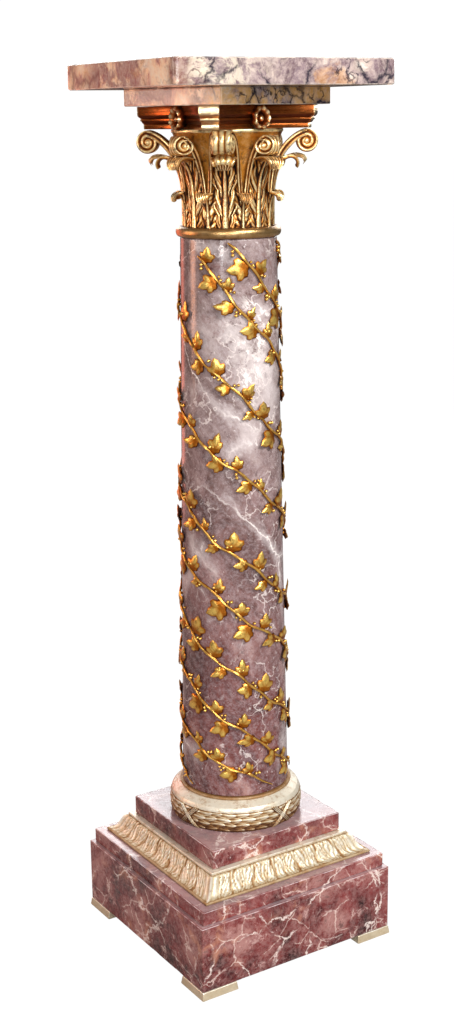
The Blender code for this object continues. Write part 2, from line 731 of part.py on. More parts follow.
def ivy_leaf(angle, level, root, heading, size):
    """One ivy leaf: three pointed lobes, a raised middle, its stalk end inside the stem.

    The outline lies in the unrolled surface, along the heading, and is wound onto the shaft.
    """
    length = IVY_LEAF_LENGTH * size
    width = IVY_LEAF_WIDTH * size
    stalk = (root - IVY_LEAF_CLEARANCE) / IVY_LEAF_LIFT
    outline = ((0.0, 0.0, stalk), (0.50, 0.50, 0.35), (0.66, 0.20, 0.45), (1.0, 0.0, 0.95),
               (0.66, -0.20, 0.45), (0.50, -0.50, 0.35), (0.52, 0.0, 1.0))
    points = []
    for along, across, lift in outline:
        ahead = along * length
        aside = across * width
        round_shaft = ahead * math.cos(heading) - aside * math.sin(heading)
        up_shaft = ahead * math.sin(heading) + aside * math.cos(heading)
        there = level + up_shaft
        turn = math.degrees(round_shaft / shaft_radius(there))
        points.append(on_shaft(angle + turn, there, IVY_LEAF_CLEARANCE + lift * IVY_LEAF_LIFT))
    faces = [(0, 1, 5), (1, 2, 5), (2, 4, 5), (2, 3, 4)]
    faces += [(6, k + 1 if k < 5 else 0, k) for k in range(6)]
    return points, faces


def ivy_garland(number, strand, material):
    """One strand: a stem wound down the shaft with leaves on both sides."""
    angle, level, length = strand_points(strand)
    name = "ivy_garland_%d" % number
    stations = IVY_STATION * np.arange(int(length[-1] / IVY_STATION) + 1)
    places = zip(np.interp(stations, length, angle), np.interp(stations, length, level))
    line = np.array([on_shaft(around, height, IVY_STEM_STANDOFF) for around, height in places])
    vine = stem(name, line, IVY_STEM_RADIUS, IVY_STEM_RADIUS)
    points, faces = [], []
    for k in range((len(stations) - 1) // 2):
        mark = (2 * k + 1.5) * IVY_STATION
        here = np.array([np.interp(mark, stations, line[:, axis]) for axis in range(3)])
        angle_here = math.degrees(math.atan2(here[1], here[0]))
        root = math.hypot(here[0], here[1]) - shaft_radius(here[2])
        ahead = min(mark + IVY_STATION / 2, length[-1])
        turn_ahead = math.radians(np.interp(ahead, length, angle) - np.interp(mark, length, angle))
        fall = math.atan2(np.interp(ahead, length, level) - np.interp(mark, length, level),
                          turn_ahead * shaft_radius(here[2]))
        side = 1 if k % 2 else -1
        spread = IVY_LEAF_TURN + IVY_LEAF_TURN_RANGE * ((k * GOLDEN_SHARE) % 1.0)
        heading = fall + math.pi + side * math.radians(spread)
        leaf, sides = ivy_leaf(angle_here, here[2], root, heading, 0.85 + 0.30 * ((k * 0.37) % 1.0))
        faces += [tuple(corner + len(points) for corner in face) for face in sides]
        points += leaf
    leaves = add_object(name + "_leaves", mesh_from_faces(name + "_leaves", points, faces))
    body = unite(vine, [leaves])
    body.name = name
    body.data.materials.append(material)
    return body


def build():
    """Make every piece of the column."""
    red = make_material("red_marble", (0.22, 0.075, 0.085), 0.18, 0.0)
    mauve = make_material("mauve_marble", (0.34, 0.26, 0.27), 0.18, 0.0)
    breccia = make_material("breccia_marble", (0.52, 0.42, 0.38), 0.16, 0.0)
    gilt = make_material("gilt_bronze", (0.72, 0.56, 0.30), 0.32, 1.0)
    old_gilt = make_material("old_gilt_bronze", (0.52, 0.33, 0.12), 0.34, 1.0)
    bright_gilt = make_material("bright_gilt", (0.80, 0.56, 0.12), 0.28, 1.0)
    brass = make_material("polished_brass", (0.70, 0.60, 0.42), 0.25, 1.0)

    foot("foot_front_left", -1, -1, brass)
    foot("foot_front_right", 1, -1, brass)
    foot("foot_back_left", -1, 1, brass)
    foot("foot_back_right", 1, 1, brass)
    square_slab("base_block", BLOCK_SIDE, BLOCK_FOOT, BLOCK_HEIGHT, MARBLE_EDGE, red)
    square_slab("base_step", STEP_SIDE, STEP_FOOT, STEP_HEIGHT, MARBLE_EDGE, red)
    leaf_moulding(gilt)
    square_slab("upper_plinth", PLINTH_SIDE, PLINTH_FOOT, PLINTH_HEIGHT, MARBLE_EDGE, red)
    laurel_ring(gilt)
    shaft(mauve)
    for number, strand in enumerate(IVY_STRANDS, start=1):
        ivy_garland(number, strand, bright_gilt)
    neck_ring(brass)
    capital(old_gilt)
    abacus(old_gilt)
    square_slab("under_slab", UNDER_SLAB_SIDE, UNDER_SLAB_FOOT, UNDER_SLAB_HEIGHT, MARBLE_EDGE,
                breccia, UNDER_SLAB_TURN)
    square_slab("top_slab", TOP_SLAB_SIDE, TOP_SLAB_FOOT, TOP_SLAB_HEIGHT, MARBLE_EDGE,
                breccia, TOP_SLAB_TURN)


clear_scene()
COLUMN = make_collection("marble_column")
CUTTERS = make_collection("cutters")
build()
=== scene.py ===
"""Looks of the marble pedestal column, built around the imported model.

Metres, +Z up, floor at level 0, the column's axis on Z. Angles are in degrees, anticlockwise seen
from above, with 0 along +X. Every new piece is a surface worked out as whole arrays. It lies where
its node lies, and its object stays at the origin. Screen colours run from 0 to 255.
"""
import math

import bpy
import numpy as np
from mathutils import Matrix, Vector


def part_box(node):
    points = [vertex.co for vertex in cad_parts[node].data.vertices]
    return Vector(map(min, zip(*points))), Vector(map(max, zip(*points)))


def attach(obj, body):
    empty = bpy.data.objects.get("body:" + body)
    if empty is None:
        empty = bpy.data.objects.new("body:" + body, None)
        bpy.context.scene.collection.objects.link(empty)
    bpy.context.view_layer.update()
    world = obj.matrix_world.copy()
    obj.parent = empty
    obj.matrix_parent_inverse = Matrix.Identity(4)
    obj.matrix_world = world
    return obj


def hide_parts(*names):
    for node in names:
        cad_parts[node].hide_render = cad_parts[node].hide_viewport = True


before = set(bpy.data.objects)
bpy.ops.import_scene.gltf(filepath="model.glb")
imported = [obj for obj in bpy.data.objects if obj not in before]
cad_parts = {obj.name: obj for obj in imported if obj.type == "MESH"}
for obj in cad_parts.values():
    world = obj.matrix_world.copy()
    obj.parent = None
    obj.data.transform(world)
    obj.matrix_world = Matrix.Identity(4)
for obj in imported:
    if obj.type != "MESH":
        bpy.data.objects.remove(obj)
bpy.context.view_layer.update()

# Camera: place on a circle about the axis, aim, and focal length in pixels of the 454 x 1024 frame
FRAME_HEIGHT = 1024
CAMERA_TURN = -32.99
CAMERA_DISTANCE = 1.933
CAMERA_HEIGHT = 1.0975
CAMERA_PITCH = 0.2553
CAMERA_YAW = -0.0034
CAMERA_ROLL = 0.0135
CAMERA_FOCAL = 1519.3
SENSOR_HEIGHT = 36.0

# Lights: name, place in the camera's view, size, power, colour, and the point each is aimed at
COLUMN_MIDDLE = (0.0, 0.0, 0.6)
LIGHTS = (
    ("key_right", (1.7, -1.9, 2.5), (0.8, 0.8), 102.0, (1.0, 0.98, 0.95), COLUMN_MIDDLE),
    ("front", (0.5, -2.8, 1.5), (1.2, 1.2), 34.0, (1.0, 0.98, 0.96), COLUMN_MIDDLE),
    ("card_front", (-0.8, -2.7, 1.3), (0.32, 1.2), 23.0, (1.0, 1.0, 1.0), COLUMN_MIDDLE),
    ("red_left", (-1.5, 2.0, 0.7), (0.9, 1.6), 11.0, (1.0, 0.26, 0.18), COLUMN_MIDDLE),
    ("back_wall", (0.2, 3.2, 1.8), (3.8, 1.2), 84.0, (0.97, 0.98, 1.0), COLUMN_MIDDLE),
    ("card_left", (-2.1, 0.1, 1.34), (0.5, 0.5), 5.0, (1.0, 0.80, 0.68), (0.0, 0.0, 1.1)),
    ("glow_left", (-2.1, 0.1, 0.82), (0.5, 0.5), 9.0, (1.0, 0.46, 0.28), (0.0, 0.0, 1.0)),
    ("fill_left", (-2.2, -1.3, 2.3), (0.9, 0.9), 4.0, (1.0, 0.95, 0.92), COLUMN_MIDDLE),
)
WORLD_DIM = 0.14
WORLD_SEEN = 1.05
PAPER_GLOW = 1.22
PAPER_GLOW_SHARE = 0.82

# Turns of the square and leafy pieces about the axis
CAPITAL_TURN = 8.4
ABACUS_TURN = 1.0
UNDER_SLAB_TURN = 9.15
TOP_SLAB_TURN = -3.55

# Slabs: points on a side, and places where the arrises may be chipped
SLAB_SIDE_POINTS = 90
CHIP_COUNT = 26

# Leaf moulding
MOULDING_INSET = 0.0243
MOULDING_LOW_FILLET = 0.0034
MOULDING_HIGH_FILLET = 0.0030
MOULDING_LEAVES = 7
MOULDING_LEAF_DEPTH = 0.0026
MOULDING_SIDE_POINTS = 200

# Laurel ring
RING_COLUMNS = 720
RING_FOOT_INSET = 0.0087
RING_FILLET_INSET = 0.0150
RING_FILLET_HEIGHT = 0.0036
RING_STEP = 0.0012
RING_LEAF_DEPTH = 0.0036
LAUREL_LENGTH = 11.25
LAUREL_ROWS = 4
RIBBON_TURN = 11.5

# Shaft and ivy. A strand: angle and drop where it starts, first fall and easing as shares of the shaft
SHAFT_TAPER = 0.0111
SHAFT_COLUMNS = 192
IVY_STRANDS = (
    (236.0, 0.0055, 0.6015, 0.0656),
    (200.0, 0.0273, 0.6535, 0.0848),
    (80.0, 0.0055, 0.5728, 0.0314),
    (306.0, 0.0055, 0.4744, 0.0000),
)
IVY_FOOT_CLEARANCE = 0.0080
IVY_MEANDER = 0.0030
IVY_MEANDERS = 5.0
IVY_STEM_STEP = 0.0035
IVY_STEM_RADIUS = 0.0018
IVY_STEM_STANDOFF = 0.0026
IVY_KINK = 0.0011
IVY_LEAF_SPACING = 0.0212
IVY_LEAF_LENGTH = 0.0216
IVY_LEAF_LIFT = 0.0030
IVY_LEAF_TILT = 0.0042
IVY_LOOK_AHEAD = 0.012
IVY_BERRY_RADIUS = 0.0021
IVY_BERRY_SPACING = 0.0236
# The berries of a cluster: place along the stem, distance from it, and the share of clusters that have it
IVY_BERRIES = ((0.0, 0.0046, 0.9), (0.0034, 0.0076, 0.55), (0.0052, 0.0030, 0.5))
GOLDEN_SHARE = 0.61803

# Neck ring
NECK_RING_DEPTH = 0.0062
NECK_RING_LIP = 0.008

# Capital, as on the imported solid
BELL_FOOT_RADIUS = 0.0535
BELL_LIP_RADIUS = 0.0694
BELL_LIP_HEIGHT = 0.0040
UPPER_LEAF = {"height": 0.0800, "reach": 0.0290, "width": 0.0350, "curl": 0.0062, "lobes": 3.0,
              "turn_over": 118.0, "fold": 0.0046, "rows": 84, "columns": 57}
LOWER_LEAF = {"height": 0.0375, "reach": 0.0125, "width": 0.0220, "curl": 0.0042, "lobes": 2.0,
              "turn_over": 112.0, "fold": 0.0034, "rows": 42, "columns": 27}
LEAF_ROOT_RADIUS = 0.0562
LOBE_RISE = 0.58
CORNER_VOLUTE = {"reach": 0.0980, "height": 0.1018, "radius": 0.0145, "width": 0.0262, "splay": 10.0}
INNER_VOLUTE = {"reach": 0.0780, "height": 0.0975, "radius": 0.0120, "width": 0.0244, "splay": 30.0}
STEM_SPREAD = 20.6
STEM_WIDTH = 0.0024
TONGUE_REACH = 0.0985
TONGUE_LEVEL = 0.0868
TONGUE_HALF_WIDTH = 0.0150

# Abacus and its flowers. The section's points are shares of the height and insets from the widest part
ABACUS_HEIGHT = 0.0272
ABACUS_SECTION = (
    (0.0, 0.0086), (0.0, 0.0081), (0.03, 0.0076), (0.19, 0.0076), (0.21, 0.0079), (0.23, 0.0074),
    (0.27, 0.0062), (0.31, 0.0054), (0.345, 0.0051), (0.355, 0.0040), (0.375, 0.0036), (0.44, 0.0036),
    (0.455, 0.0041), (0.465, 0.0046), (0.49, 0.0034), (0.53, 0.0018), (0.58, 0.0006), (0.64, 0.0001),
    (0.74, 0.0), (0.755, 0.0006), (0.77, 0.0006), (0.785, 0.0), (0.97, 0.0), (1.0, 0.0005), (1.0, 0.0012))
ABACUS_SIDE_POINTS = 60
ABACUS_TIP = 0.1110
ABACUS_CUT = 0.0120
ABACUS_WAIST = 0.0700
FLOWER_RADIUS = 0.0128
FLOWER_DEPTH = 0.0088
FLOWER_LEVEL = 0.0115
FLOWER_PETALS = 9

# Value of the relief attribute on the upper faces of the slabs, which marks where the marble gets its painted
# sheen
TOP_FACE_RELIEF = 0.15

# Middle of the pale drift in the shaft's stone, in its material's turned and stretched space
BRIGHT_DRIFT = (0.482, -0.161, 0.316)

# Gilt finishes: colours by the relief attribute, dark stops as painted shade in hollows and pale stops as
# painted highlight on crests; roughness, metallic, grain, worn tint, strength of dark spots
GILT_FINISHES = {
    "cream_gilt": (((0.03, 84, 48, 22), (0.20, 150, 108, 62), (0.42, 202, 186, 154), (0.78, 238, 232, 218)),
                   0.36, 0.36, 900.0, (168, 126, 76), 0.0),
    "leaf_gilt": (((0.06, 14, 6, 2), (0.27, 106, 50, 10), (0.48, 202, 132, 44), (0.80, 255, 232, 174)),
                  0.29, 0.74, 900.0, (124, 64, 14), 0.62),
    "abacus_gilt": (((0.10, 18, 6, 3), (0.42, 100, 42, 14), (0.70, 168, 92, 36), (1.00, 252, 226, 176)),
                    0.20, 0.85, 700.0, (110, 46, 16), 0.0),
    "ivy_gilt": (((0.05, 28, 10, 3), (0.28, 104, 48, 8), (0.54, 184, 108, 20), (0.88, 248, 208, 110)),
                 0.30, 0.78, 900.0, (84, 38, 8), 0.0),
    "neck_gilt": (((0.05, 58, 32, 14), (0.40, 132, 94, 54), (0.75, 176, 138, 88), (1.0, 222, 196, 150)),
                  0.33, 0.90, 700.0, (116, 76, 40), 0.0),
    "pale_brass": (((0.2, 176, 152, 116), (0.7, 238, 224, 196), (0.9, 248, 238, 216), (1.0, 255, 252, 244)),
                   0.30, 0.45, 500.0, (206, 182, 142), 0.0),
}

UP = np.array((0.0, 0.0, 1.0))


def box_of(node):
    """Lowest and highest corners of a node as two arrays."""
    low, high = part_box(node)
    return np.array(low), np.array(high)


def levels_of(node):
    """Underside and top of a node."""
    low, high = box_of(node)
    return low[2], high[2]


def side_of(node, turn=0.0):
    """Side of a square node that is turned by an angle, from the width of its box."""
    low, high = box_of(node)
    turn = math.radians(abs(turn))
    return (high[0] - low[0]) / (math.cos(turn) + math.sin(turn))


SHAFT_FOOT, SHAFT_TOP = levels_of("shaft")
SHAFT_LENGTH = SHAFT_TOP - SHAFT_FOOT
SHAFT_FOOT_RADIUS = box_of("shaft")[1][0]
CAPITAL_FOOT, CAPITAL_TOP = levels_of("capital")
CAPITAL_HEIGHT = CAPITAL_TOP - CAPITAL_FOOT
UNDER_SLAB_TOP = levels_of("under_slab")[1]


def direction(angle):
    """Level unit vectors at angles in degrees, with x, y and z on the last axis."""
    turn = np.radians(np.asarray(angle, float))
    return np.stack((np.cos(turn), np.sin(turn), np.zeros_like(turn)), axis=-1)


def spot(outward, angle, aside, level):
    """Points: outward along an angle, aside to its left, and up to a level."""
    outward, angle, aside, level = np.broadcast_arrays(outward, angle, aside, level)
    return (outward[..., None] * direction(angle) + aside[..., None] * direction(angle + 90.0)
            + level[..., None] * UP)


def smooth_step(value, low, high):
    """0 below low, 1 above high, an even S curve between."""
    share = np.clip((value - low) / (high - low), 0.0, 1.0)
    return share * share * (3.0 - 2.0 * share)


def hill(value, middle, width):
    """1 at the middle, falling to 0 on both sides: exp(-((value - middle) / width)^2)."""
    return np.exp(-((value - middle) / width) ** 2)


def arches(phase, power):
    """A row of arches, 0 at every whole phase and 1 halfway between: |sin(pi phase)|^power."""
    return np.abs(np.sin(np.pi * phase)) ** power


def ripple(*waves):
    """Sum of sines of the given arrays, each of unit height, divided by their number."""
    return sum(np.sin(wave) for wave in waves) / len(waves)


def sheet(points, relief, wrap=False):
    """A grid of points as a chunk: points, quads, triangles, relief. Quads face columns cross rows."""
    rows, columns = points.shape[:2]
    index = np.arange(rows * columns).reshape(rows, columns)
    if wrap:
        index = np.concatenate((index, index[:, :1]), axis=1)
    quads = np.stack((index[:-1, :-1], index[:-1, 1:], index[1:, 1:], index[1:, :-1]), axis=-1)
    relief = np.broadcast_to(relief, (rows, columns)).astype(float)
    return points.reshape(-1, 3), quads.reshape(-1, 4), np.zeros((0, 3), int), relief.reshape(-1)


def closed_tube(points, relief):
    """Rings of points as a closed form: each end is a fan of triangles to the ring's middle."""
    flat, quads, _, shade = sheet(points, relief, wrap=True)
    rows, columns = points.shape[:2]
    ring = np.arange(columns)
    after = (ring + 1) % columns
    first, last = len(flat), len(flat) + 1
    top = (rows - 1) * columns
    low_fan = np.stack((np.full(columns, first), after, ring), axis=1)
    high_fan = np.stack((np.full(columns, last), top + ring, top + after), axis=1)
    flat = np.concatenate((flat, points[0].mean(axis=0)[None], points[-1].mean(axis=0)[None]))
    shade = np.concatenate((shade, (shade[:columns].mean(), shade[-columns:].mean())))
    return flat, quads, np.concatenate((low_fan, high_fan)), shade


def plate(front, back, relief, back_relief):
    """A closed leaf from a front and a back grid of one size, joined along all four rims."""
    rows, columns = front.shape[:2]
    flat, quads, triangles, shade = sheet(front, relief)
    behind = len(flat)
    index = np.arange(rows * columns).reshape(rows, columns)
    rim = np.concatenate((index[0, ::-1], index[1:, 0], index[-1, 1:], index[-2:0:-1, -1]))
    after = np.roll(rim, -1)
    sides = np.stack((rim, after, after + behind, rim + behind), axis=1)
    quads = np.concatenate((quads, quads[:, ::-1] + behind, sides))
    flat = np.concatenate((flat, back.reshape(-1, 3)))
    shade = np.concatenate((shade, np.broadcast_to(back_relief, (rows, columns)).reshape(-1)))
    return flat, quads, triangles, shade


def copies(points, quads, triangles, relief):
    """Many like forms as one chunk: the points of every form, with the faces and relief of one."""
    starts = points.shape[1] * np.arange(len(points))[:, None, None]
    relief = np.broadcast_to(relief, points.shape[:2]).reshape(-1)
    return (points.reshape(-1, 3), (quads[None] + starts).reshape(-1, 4),
            (triangles[None] + starts).reshape(-1, 3), relief)


def make_piece(name, chunks, material, node, crease=50.0):
    """One mesh object of several chunks, riding on the root body in place of a node."""
    starts = np.cumsum([0] + [len(chunk[0]) for chunk in chunks[:-1]])
    points = np.concatenate([chunk[0] for chunk in chunks])
    quads = np.concatenate([chunk[1] + start for chunk, start in zip(chunks, starts)])
    triangles = np.concatenate([chunk[2] + start for chunk, start in zip(chunks, starts)])
    relief = np.concatenate([chunk[3] for chunk in chunks])
    mesh = bpy.data.meshes.new(name)
    mesh.vertices.add(len(points))
    mesh.vertices.foreach_set("co", points.astype(np.float32).reshape(-1))
    corners = np.concatenate((quads.reshape(-1), triangles.reshape(-1))).astype(np.int32)
    mesh.loops.add(len(corners))
    mesh.loops.foreach_set("vertex_index", corners)
    firsts = np.concatenate((4 * np.arange(len(quads)), 4 * len(quads) + 3 * np.arange(len(triangles))))
    mesh.polygons.add(len(firsts))
    mesh.polygons.foreach_set("loop_start", firsts.astype(np.int32))
    mesh.update(calc_edges=True)
    mesh.validate()
    # The relief attribute is a painted shade value: low in hollows, under parts and on shaded sides, high on
    # crests, edges and lit sides.
    attribute = mesh.attributes.new("relief", "FLOAT", "POINT")
    attribute.data.foreach_set("value", relief.astype(np.float32))
    mesh.shade_smooth()
    mesh.set_sharp_from_angle(angle=math.radians(crease))
    mesh.materials.append(material)
    piece = bpy.data.objects.new(name, mesh)
    bpy.context.scene.collection.objects.link(piece)
    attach(piece, "root")
    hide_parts(node)
    return piece


def srgb(red, green, blue):
    """Linear colour, with alpha, of a screen colour."""
    def channel(value):
        value = value / 255.0
        return value / 12.92 if value <= 0.04045 else ((value + 0.055) / 1.055) ** 2.4
    return (channel(red), channel(green), channel(blue), 1.0)


def add(tree, kind, inputs=None, **settings):
    """A node with its settings; of its inputs, a socket is linked and a value is set."""
    item = tree.nodes.new(kind)
    for key, value in settings.items():
        setattr(item, key, value)
    for key, value in (inputs or {}).items():
        if isinstance(value, bpy.types.NodeSocket):
            tree.links.new(value, item.inputs[key])
        else:
            item.inputs[key].default_value = value
    return item


def object_space(tree):
    """Coordinates of the piece's own object."""
    return add(tree, "ShaderNodeTexCoord").outputs["Object"]


def relief_shade(tree):
    """The relief attribute of the piece: a painted shade value, low in hollows and high on crests and edges.
    """
    return add(tree, "ShaderNodeAttribute", attribute_name="relief").outputs["Fac"]


def noise(tree, space, scale, detail=4.0, roughness=0.55, distortion=0.0):
    """Value of a noise texture."""
    return add(tree, "ShaderNodeTexNoise", {"Vector": space, "Scale": scale, "Detail": detail,
                                            "Roughness": roughness, "Distortion": distortion}).outputs[0]


def maths(tree, operation, first, second=0.5, third=0.0, clamp=False):
    """Result of one sum on up to three values or sockets."""
    return add(tree, "ShaderNodeMath", {0: first, 1: second, 2: third}, operation=operation,
               use_clamp=clamp).outputs[0]


def times(tree, first, second):
    """Product of two values or sockets."""
    return maths(tree, "MULTIPLY", first, second)


def vectors(tree, operation, first, second=(0.0, 0.0, 0.0), scale=1.0):
    """Outputs of one sum on two vectors, or on a vector and a scale."""
    return add(tree, "ShaderNodeVectorMath", {0: first, 1: second, 3: scale}, operation=operation).outputs


def mapped(tree, value, from_low, from_high, to_low=0.0, to_high=1.0):
    """A value carried from one range to another, held at the ends."""
    return add(tree, "ShaderNodeMapRange", {0: value, 1: from_low, 2: from_high, 3: to_low, 4: to_high},
               clamp=True, interpolation_type="SMOOTHSTEP").outputs[0]


def patches(tree, space, low, high, *grain):
    """Strength of a noise of some grain: 0 where it is under low, 1 where it is over high."""
    return mapped(tree, noise(tree, space, *grain), low, high)


def blend_colour(tree, share, first, second):
    """Colour between two colours or sockets."""
    return add(tree, "ShaderNodeMix", {0: share, 6: first, 7: second}, data_type="RGBA").outputs[2]


def stain(tree, colour, strength, amount, tint):
    """The colour, covered where a strength says and by an amount at most. The tint is a screen colour
    or a socket."""
    if isinstance(tint, tuple):
        tint = srgb(*tint)
    return blend_colour(tree, times(tree, strength, amount), colour, tint)


def ramp(tree, value, stops):
    """Colour of a ramp of stops, each a place and a screen colour."""
    item = add(tree, "ShaderNodeValToRGB", {0: value})
    elements = item.color_ramp.elements
    while len(elements) < len(stops):
        elements.new(0.5)
    for element, (place, *colour) in zip(elements, stops):
        element.position = place
        element.color = srgb(*colour)
    return item.outputs[0]


def new_material(name, roughness, metallic=0.0):
    """A Principled material: the material, its tree and its shader."""
    material = bpy.data.materials.new(name)
    material.use_nodes = True
    shader = material.node_tree.nodes["Principled BSDF"]
    shader.inputs["Roughness"].default_value = roughness
    shader.inputs["Metallic"].default_value = metallic
    return material, material.node_tree, shader


def finish(tree, shader, colour, roughness, height, depth, strength=1.0):
    """The shader's colour and roughness, and fine relief on its normal."""
    tree.links.new(colour, shader.inputs["Base Color"])
    tree.links.new(roughness, shader.inputs["Roughness"])
    item = add(tree, "ShaderNodeBump", {"Height": height, "Distance": depth, "Strength": strength})
    tree.links.new(item.outputs[0], shader.inputs["Normal"])


def stone_space(tree, turn, warp, warp_scale):
    """Object coordinates, and the same turned and pushed about by a broad noise."""
    coordinates = object_space(tree)
    turned_space = add(tree, "ShaderNodeMapping", {"Vector": coordinates, "Rotation": turn}).outputs[0]
    push = add(tree, "ShaderNodeTexNoise", {"Vector": turned_space, "Scale": warp_scale, "Detail": 4.0})
    push = vectors(tree, "SUBTRACT", push.outputs["Color"], (0.5, 0.5, 0.5))[0]
    push = vectors(tree, "SCALE", push, scale=warp)[0]
    return coordinates, vectors(tree, "ADD", turned_space, push)[0]


def cracks(tree, space, scale, core, halo):
    """Two vein strengths along the borders of irregular cells: a thin core and its soft halo."""
    ragged = add(tree, "ShaderNodeTexNoise", {"Vector": space, "Scale": 3.2 * scale, "Detail": 5.0,
                                              "Roughness": 0.7})
    push = vectors(tree, "SCALE", ragged.outputs["Color"], scale=0.34 / scale)[0]
    place = vectors(tree, "ADD", space, push)[0]
    border = add(tree, "ShaderNodeTexVoronoi", {"Vector": place, "Scale": scale},
                 feature="DISTANCE_TO_EDGE").outputs["Distance"]
    return mapped(tree, border, 0.0, core, 1.0, 0.0), mapped(tree, border, 0.0, halo, 1.0, 0.0)


def threads(tree, space, scale, width, detail=5.0):
    """Vein strength: long winding lines where a noise crosses its middle value."""
    wave = maths(tree, "ABSOLUTE", maths(tree, "SUBTRACT", noise(tree, space, scale, detail, 0.5), 0.5))
    return mapped(tree, wave, 0.0, width, 1.0, 0.0)


def masked(tree, strength, space, scale, low, high):
    """A vein strength kept only where a broad noise is high."""
    return times(tree, strength, patches(tree, space, low, high, scale, 3.0))


def worn_arris_highlight_and_top_sheen(tree, colour, pale):
    """The stone's colour, pale in places along its worn edges, where the relief is highest, as wear and
    painted highlight, and greyed on its upper face, where the relief is lowest, as a painted sheen."""
    relief = relief_shade(tree)
    broken = mapped(tree, noise(tree, object_space(tree), 70.0, 6.0, 0.7), 0.40, 0.60, 0.10, 0.75)
    # Painted sheen: the upper face is greyed where the relief is lowest.
    painted_top_sheen = mapped(tree, relief, TOP_FACE_RELIEF, 0.46, 0.46, 0.0)
    colour = blend_colour(tree, painted_top_sheen, colour, srgb(176, 158, 162))
    # Pale worn arrises with a painted highlight where the relief is highest.
    return stain(tree, colour, mapped(tree, relief, 0.62, 0.98), broken, pale)


def red_marble():
    """Deep red stone with darker clouds, pink blots and a broken net of white and cream veins."""
    material, tree, shader = new_material("red_marble", 0.16)
    coordinates, space = stone_space(tree, (0.5, 0.3, 0.9), 0.030, 9.0)
    colour = ramp(tree, noise(tree, space, 15.0, 10.0, 0.74), (
        (0.38, 34, 11, 12), (0.45, 78, 25, 27), (0.52, 116, 48, 47), (0.61, 170, 120, 114)))
    broad = patches(tree, space, 0.50, 0.62, 7.0, 3.0, 0.5, 0.8)
    colour = stain(tree, colour, broad, 0.38, (146, 62, 62))
    grain = patches(tree, space, 0.40, 0.64, 150.0, 7.0, 0.8)
    colour = stain(tree, colour, grain, 0.36, (180, 142, 138))
    pits = patches(tree, space, 0.55, 0.64, 60.0, 8.0, 0.80)
    colour = stain(tree, colour, pits, 0.66, (46, 14, 17))
    blots = patches(tree, space, 0.56, 0.64, 40.0, 10.0, 0.80, 0.3)
    colour = stain(tree, colour, blots, 0.70, (206, 168, 162))
    core, halo = cracks(tree, space, 13.0, 0.020, 0.130)
    halo = masked(tree, masked(tree, halo, space, 12.0, 0.48, 0.60), space, 70.0, 0.40, 0.60)
    colour = stain(tree, colour, halo, 0.60, (200, 140, 112))
    colour = stain(tree, colour, masked(tree, core, space, 22.0, 0.46, 0.56), 0.86, (244, 228, 220))
    fine, _ = cracks(tree, space, 31.0, 0.036, 0.100)
    colour = stain(tree, colour, masked(tree, fine, space, 30.0, 0.46, 0.58), 0.72, (236, 212, 202))
    specks = patches(tree, space, 0.68, 0.74, 210.0, 4.0, 0.6)
    colour = stain(tree, colour, specks, 0.60, (226, 200, 196))
    colour = worn_arris_highlight_and_top_sheen(tree, colour, (214, 198, 200))
    roughness = mapped(tree, grain, 0.0, 1.0, 0.14, 0.27)
    finish(tree, shader, colour, roughness, noise(tree, coordinates, 240.0, 3.0), 0.00012)
    return material


def shaft_marble():
    """Grey lavender stone with pale slanting clouds above, turning deep red towards the foot."""
    material, tree, shader = new_material("shaft_marble", 0.16)
    coordinates, space = stone_space(tree, (0.35, 0.55, 0.4), 0.045, 7.0)
    stretched = add(tree, "ShaderNodeMapping", {"Vector": space, "Scale": (1.0, 1.0, 0.5)}).outputs[0]
    level = add(tree, "ShaderNodeSeparateXYZ", {0: coordinates}).outputs[2]
    drift = maths(tree, "MULTIPLY_ADD", noise(tree, space, 6.0, 5.0), 0.40, -0.20)
    reds = mapped(tree, maths(tree, "ADD", level, drift), 0.26, 0.82, 1.0, 0.0)
    clouds = noise(tree, stretched, 14.0, 11.0, 0.72, 0.4)
    mauve = ramp(tree, clouds, ((0.34, 76, 56, 52), (0.44, 112, 91, 87), (0.52, 138, 118, 116),
                                (0.60, 164, 148, 146), (0.70, 206, 194, 190)))
    deep = ramp(tree, clouds, (
        (0.34, 48, 16, 16), (0.44, 86, 38, 36), (0.54, 116, 62, 58), (0.67, 176, 134, 126)))
    colour = blend_colour(tree, reds, mauve, deep)
    away = vectors(tree, "DISTANCE", stretched, BRIGHT_DRIFT)[1]
    bright = times(tree, mapped(tree, away, 0.010, 0.062, 1.0, 0.0),
                   patches(tree, stretched, 0.38, 0.60, 30.0, 9.0, 0.75))
    colour = stain(tree, colour, bright, 0.60, (232, 224, 222))
    brown = patches(tree, space, 0.54, 0.66, 20.0, 8.0, 0.72, 0.4)
    colour = stain(tree, colour, brown, 0.50, (126, 84, 80))
    grain = patches(tree, space, 0.40, 0.62, 170.0, 8.0, 0.85)
    colour = stain(tree, colour, grain, 0.34, (186, 172, 176))
    specks = patches(tree, space, 0.55, 0.63, 90.0, 7.0, 0.80)
    colour = stain(tree, colour, specks, 0.60, (72, 44, 44))
    sparks = patches(tree, space, 0.66, 0.72, 190.0, 4.0, 0.6)
    colour = stain(tree, colour, sparks, 0.60, (232, 222, 222))
    core, halo = cracks(tree, stretched, 9.0, 0.015, 0.100)
    colour = stain(tree, colour, masked(tree, halo, space, 9.0, 0.48, 0.60), 0.40, (236, 226, 226))
    colour = stain(tree, colour, masked(tree, core, space, 8.0, 0.47, 0.58), 0.85, (250, 242, 238))
    fine = masked(tree, threads(tree, space, 30.0, 0.018, 9.0), space, 14.0, 0.46, 0.58)
    colour = stain(tree, colour, fine, 0.62, (238, 226, 222))
    roughness = mapped(tree, grain, 0.0, 1.0, 0.15, 0.29)
    finish(tree, shader, colour, roughness, noise(tree, coordinates, 220.0, 3.0), 0.00012)
    return material


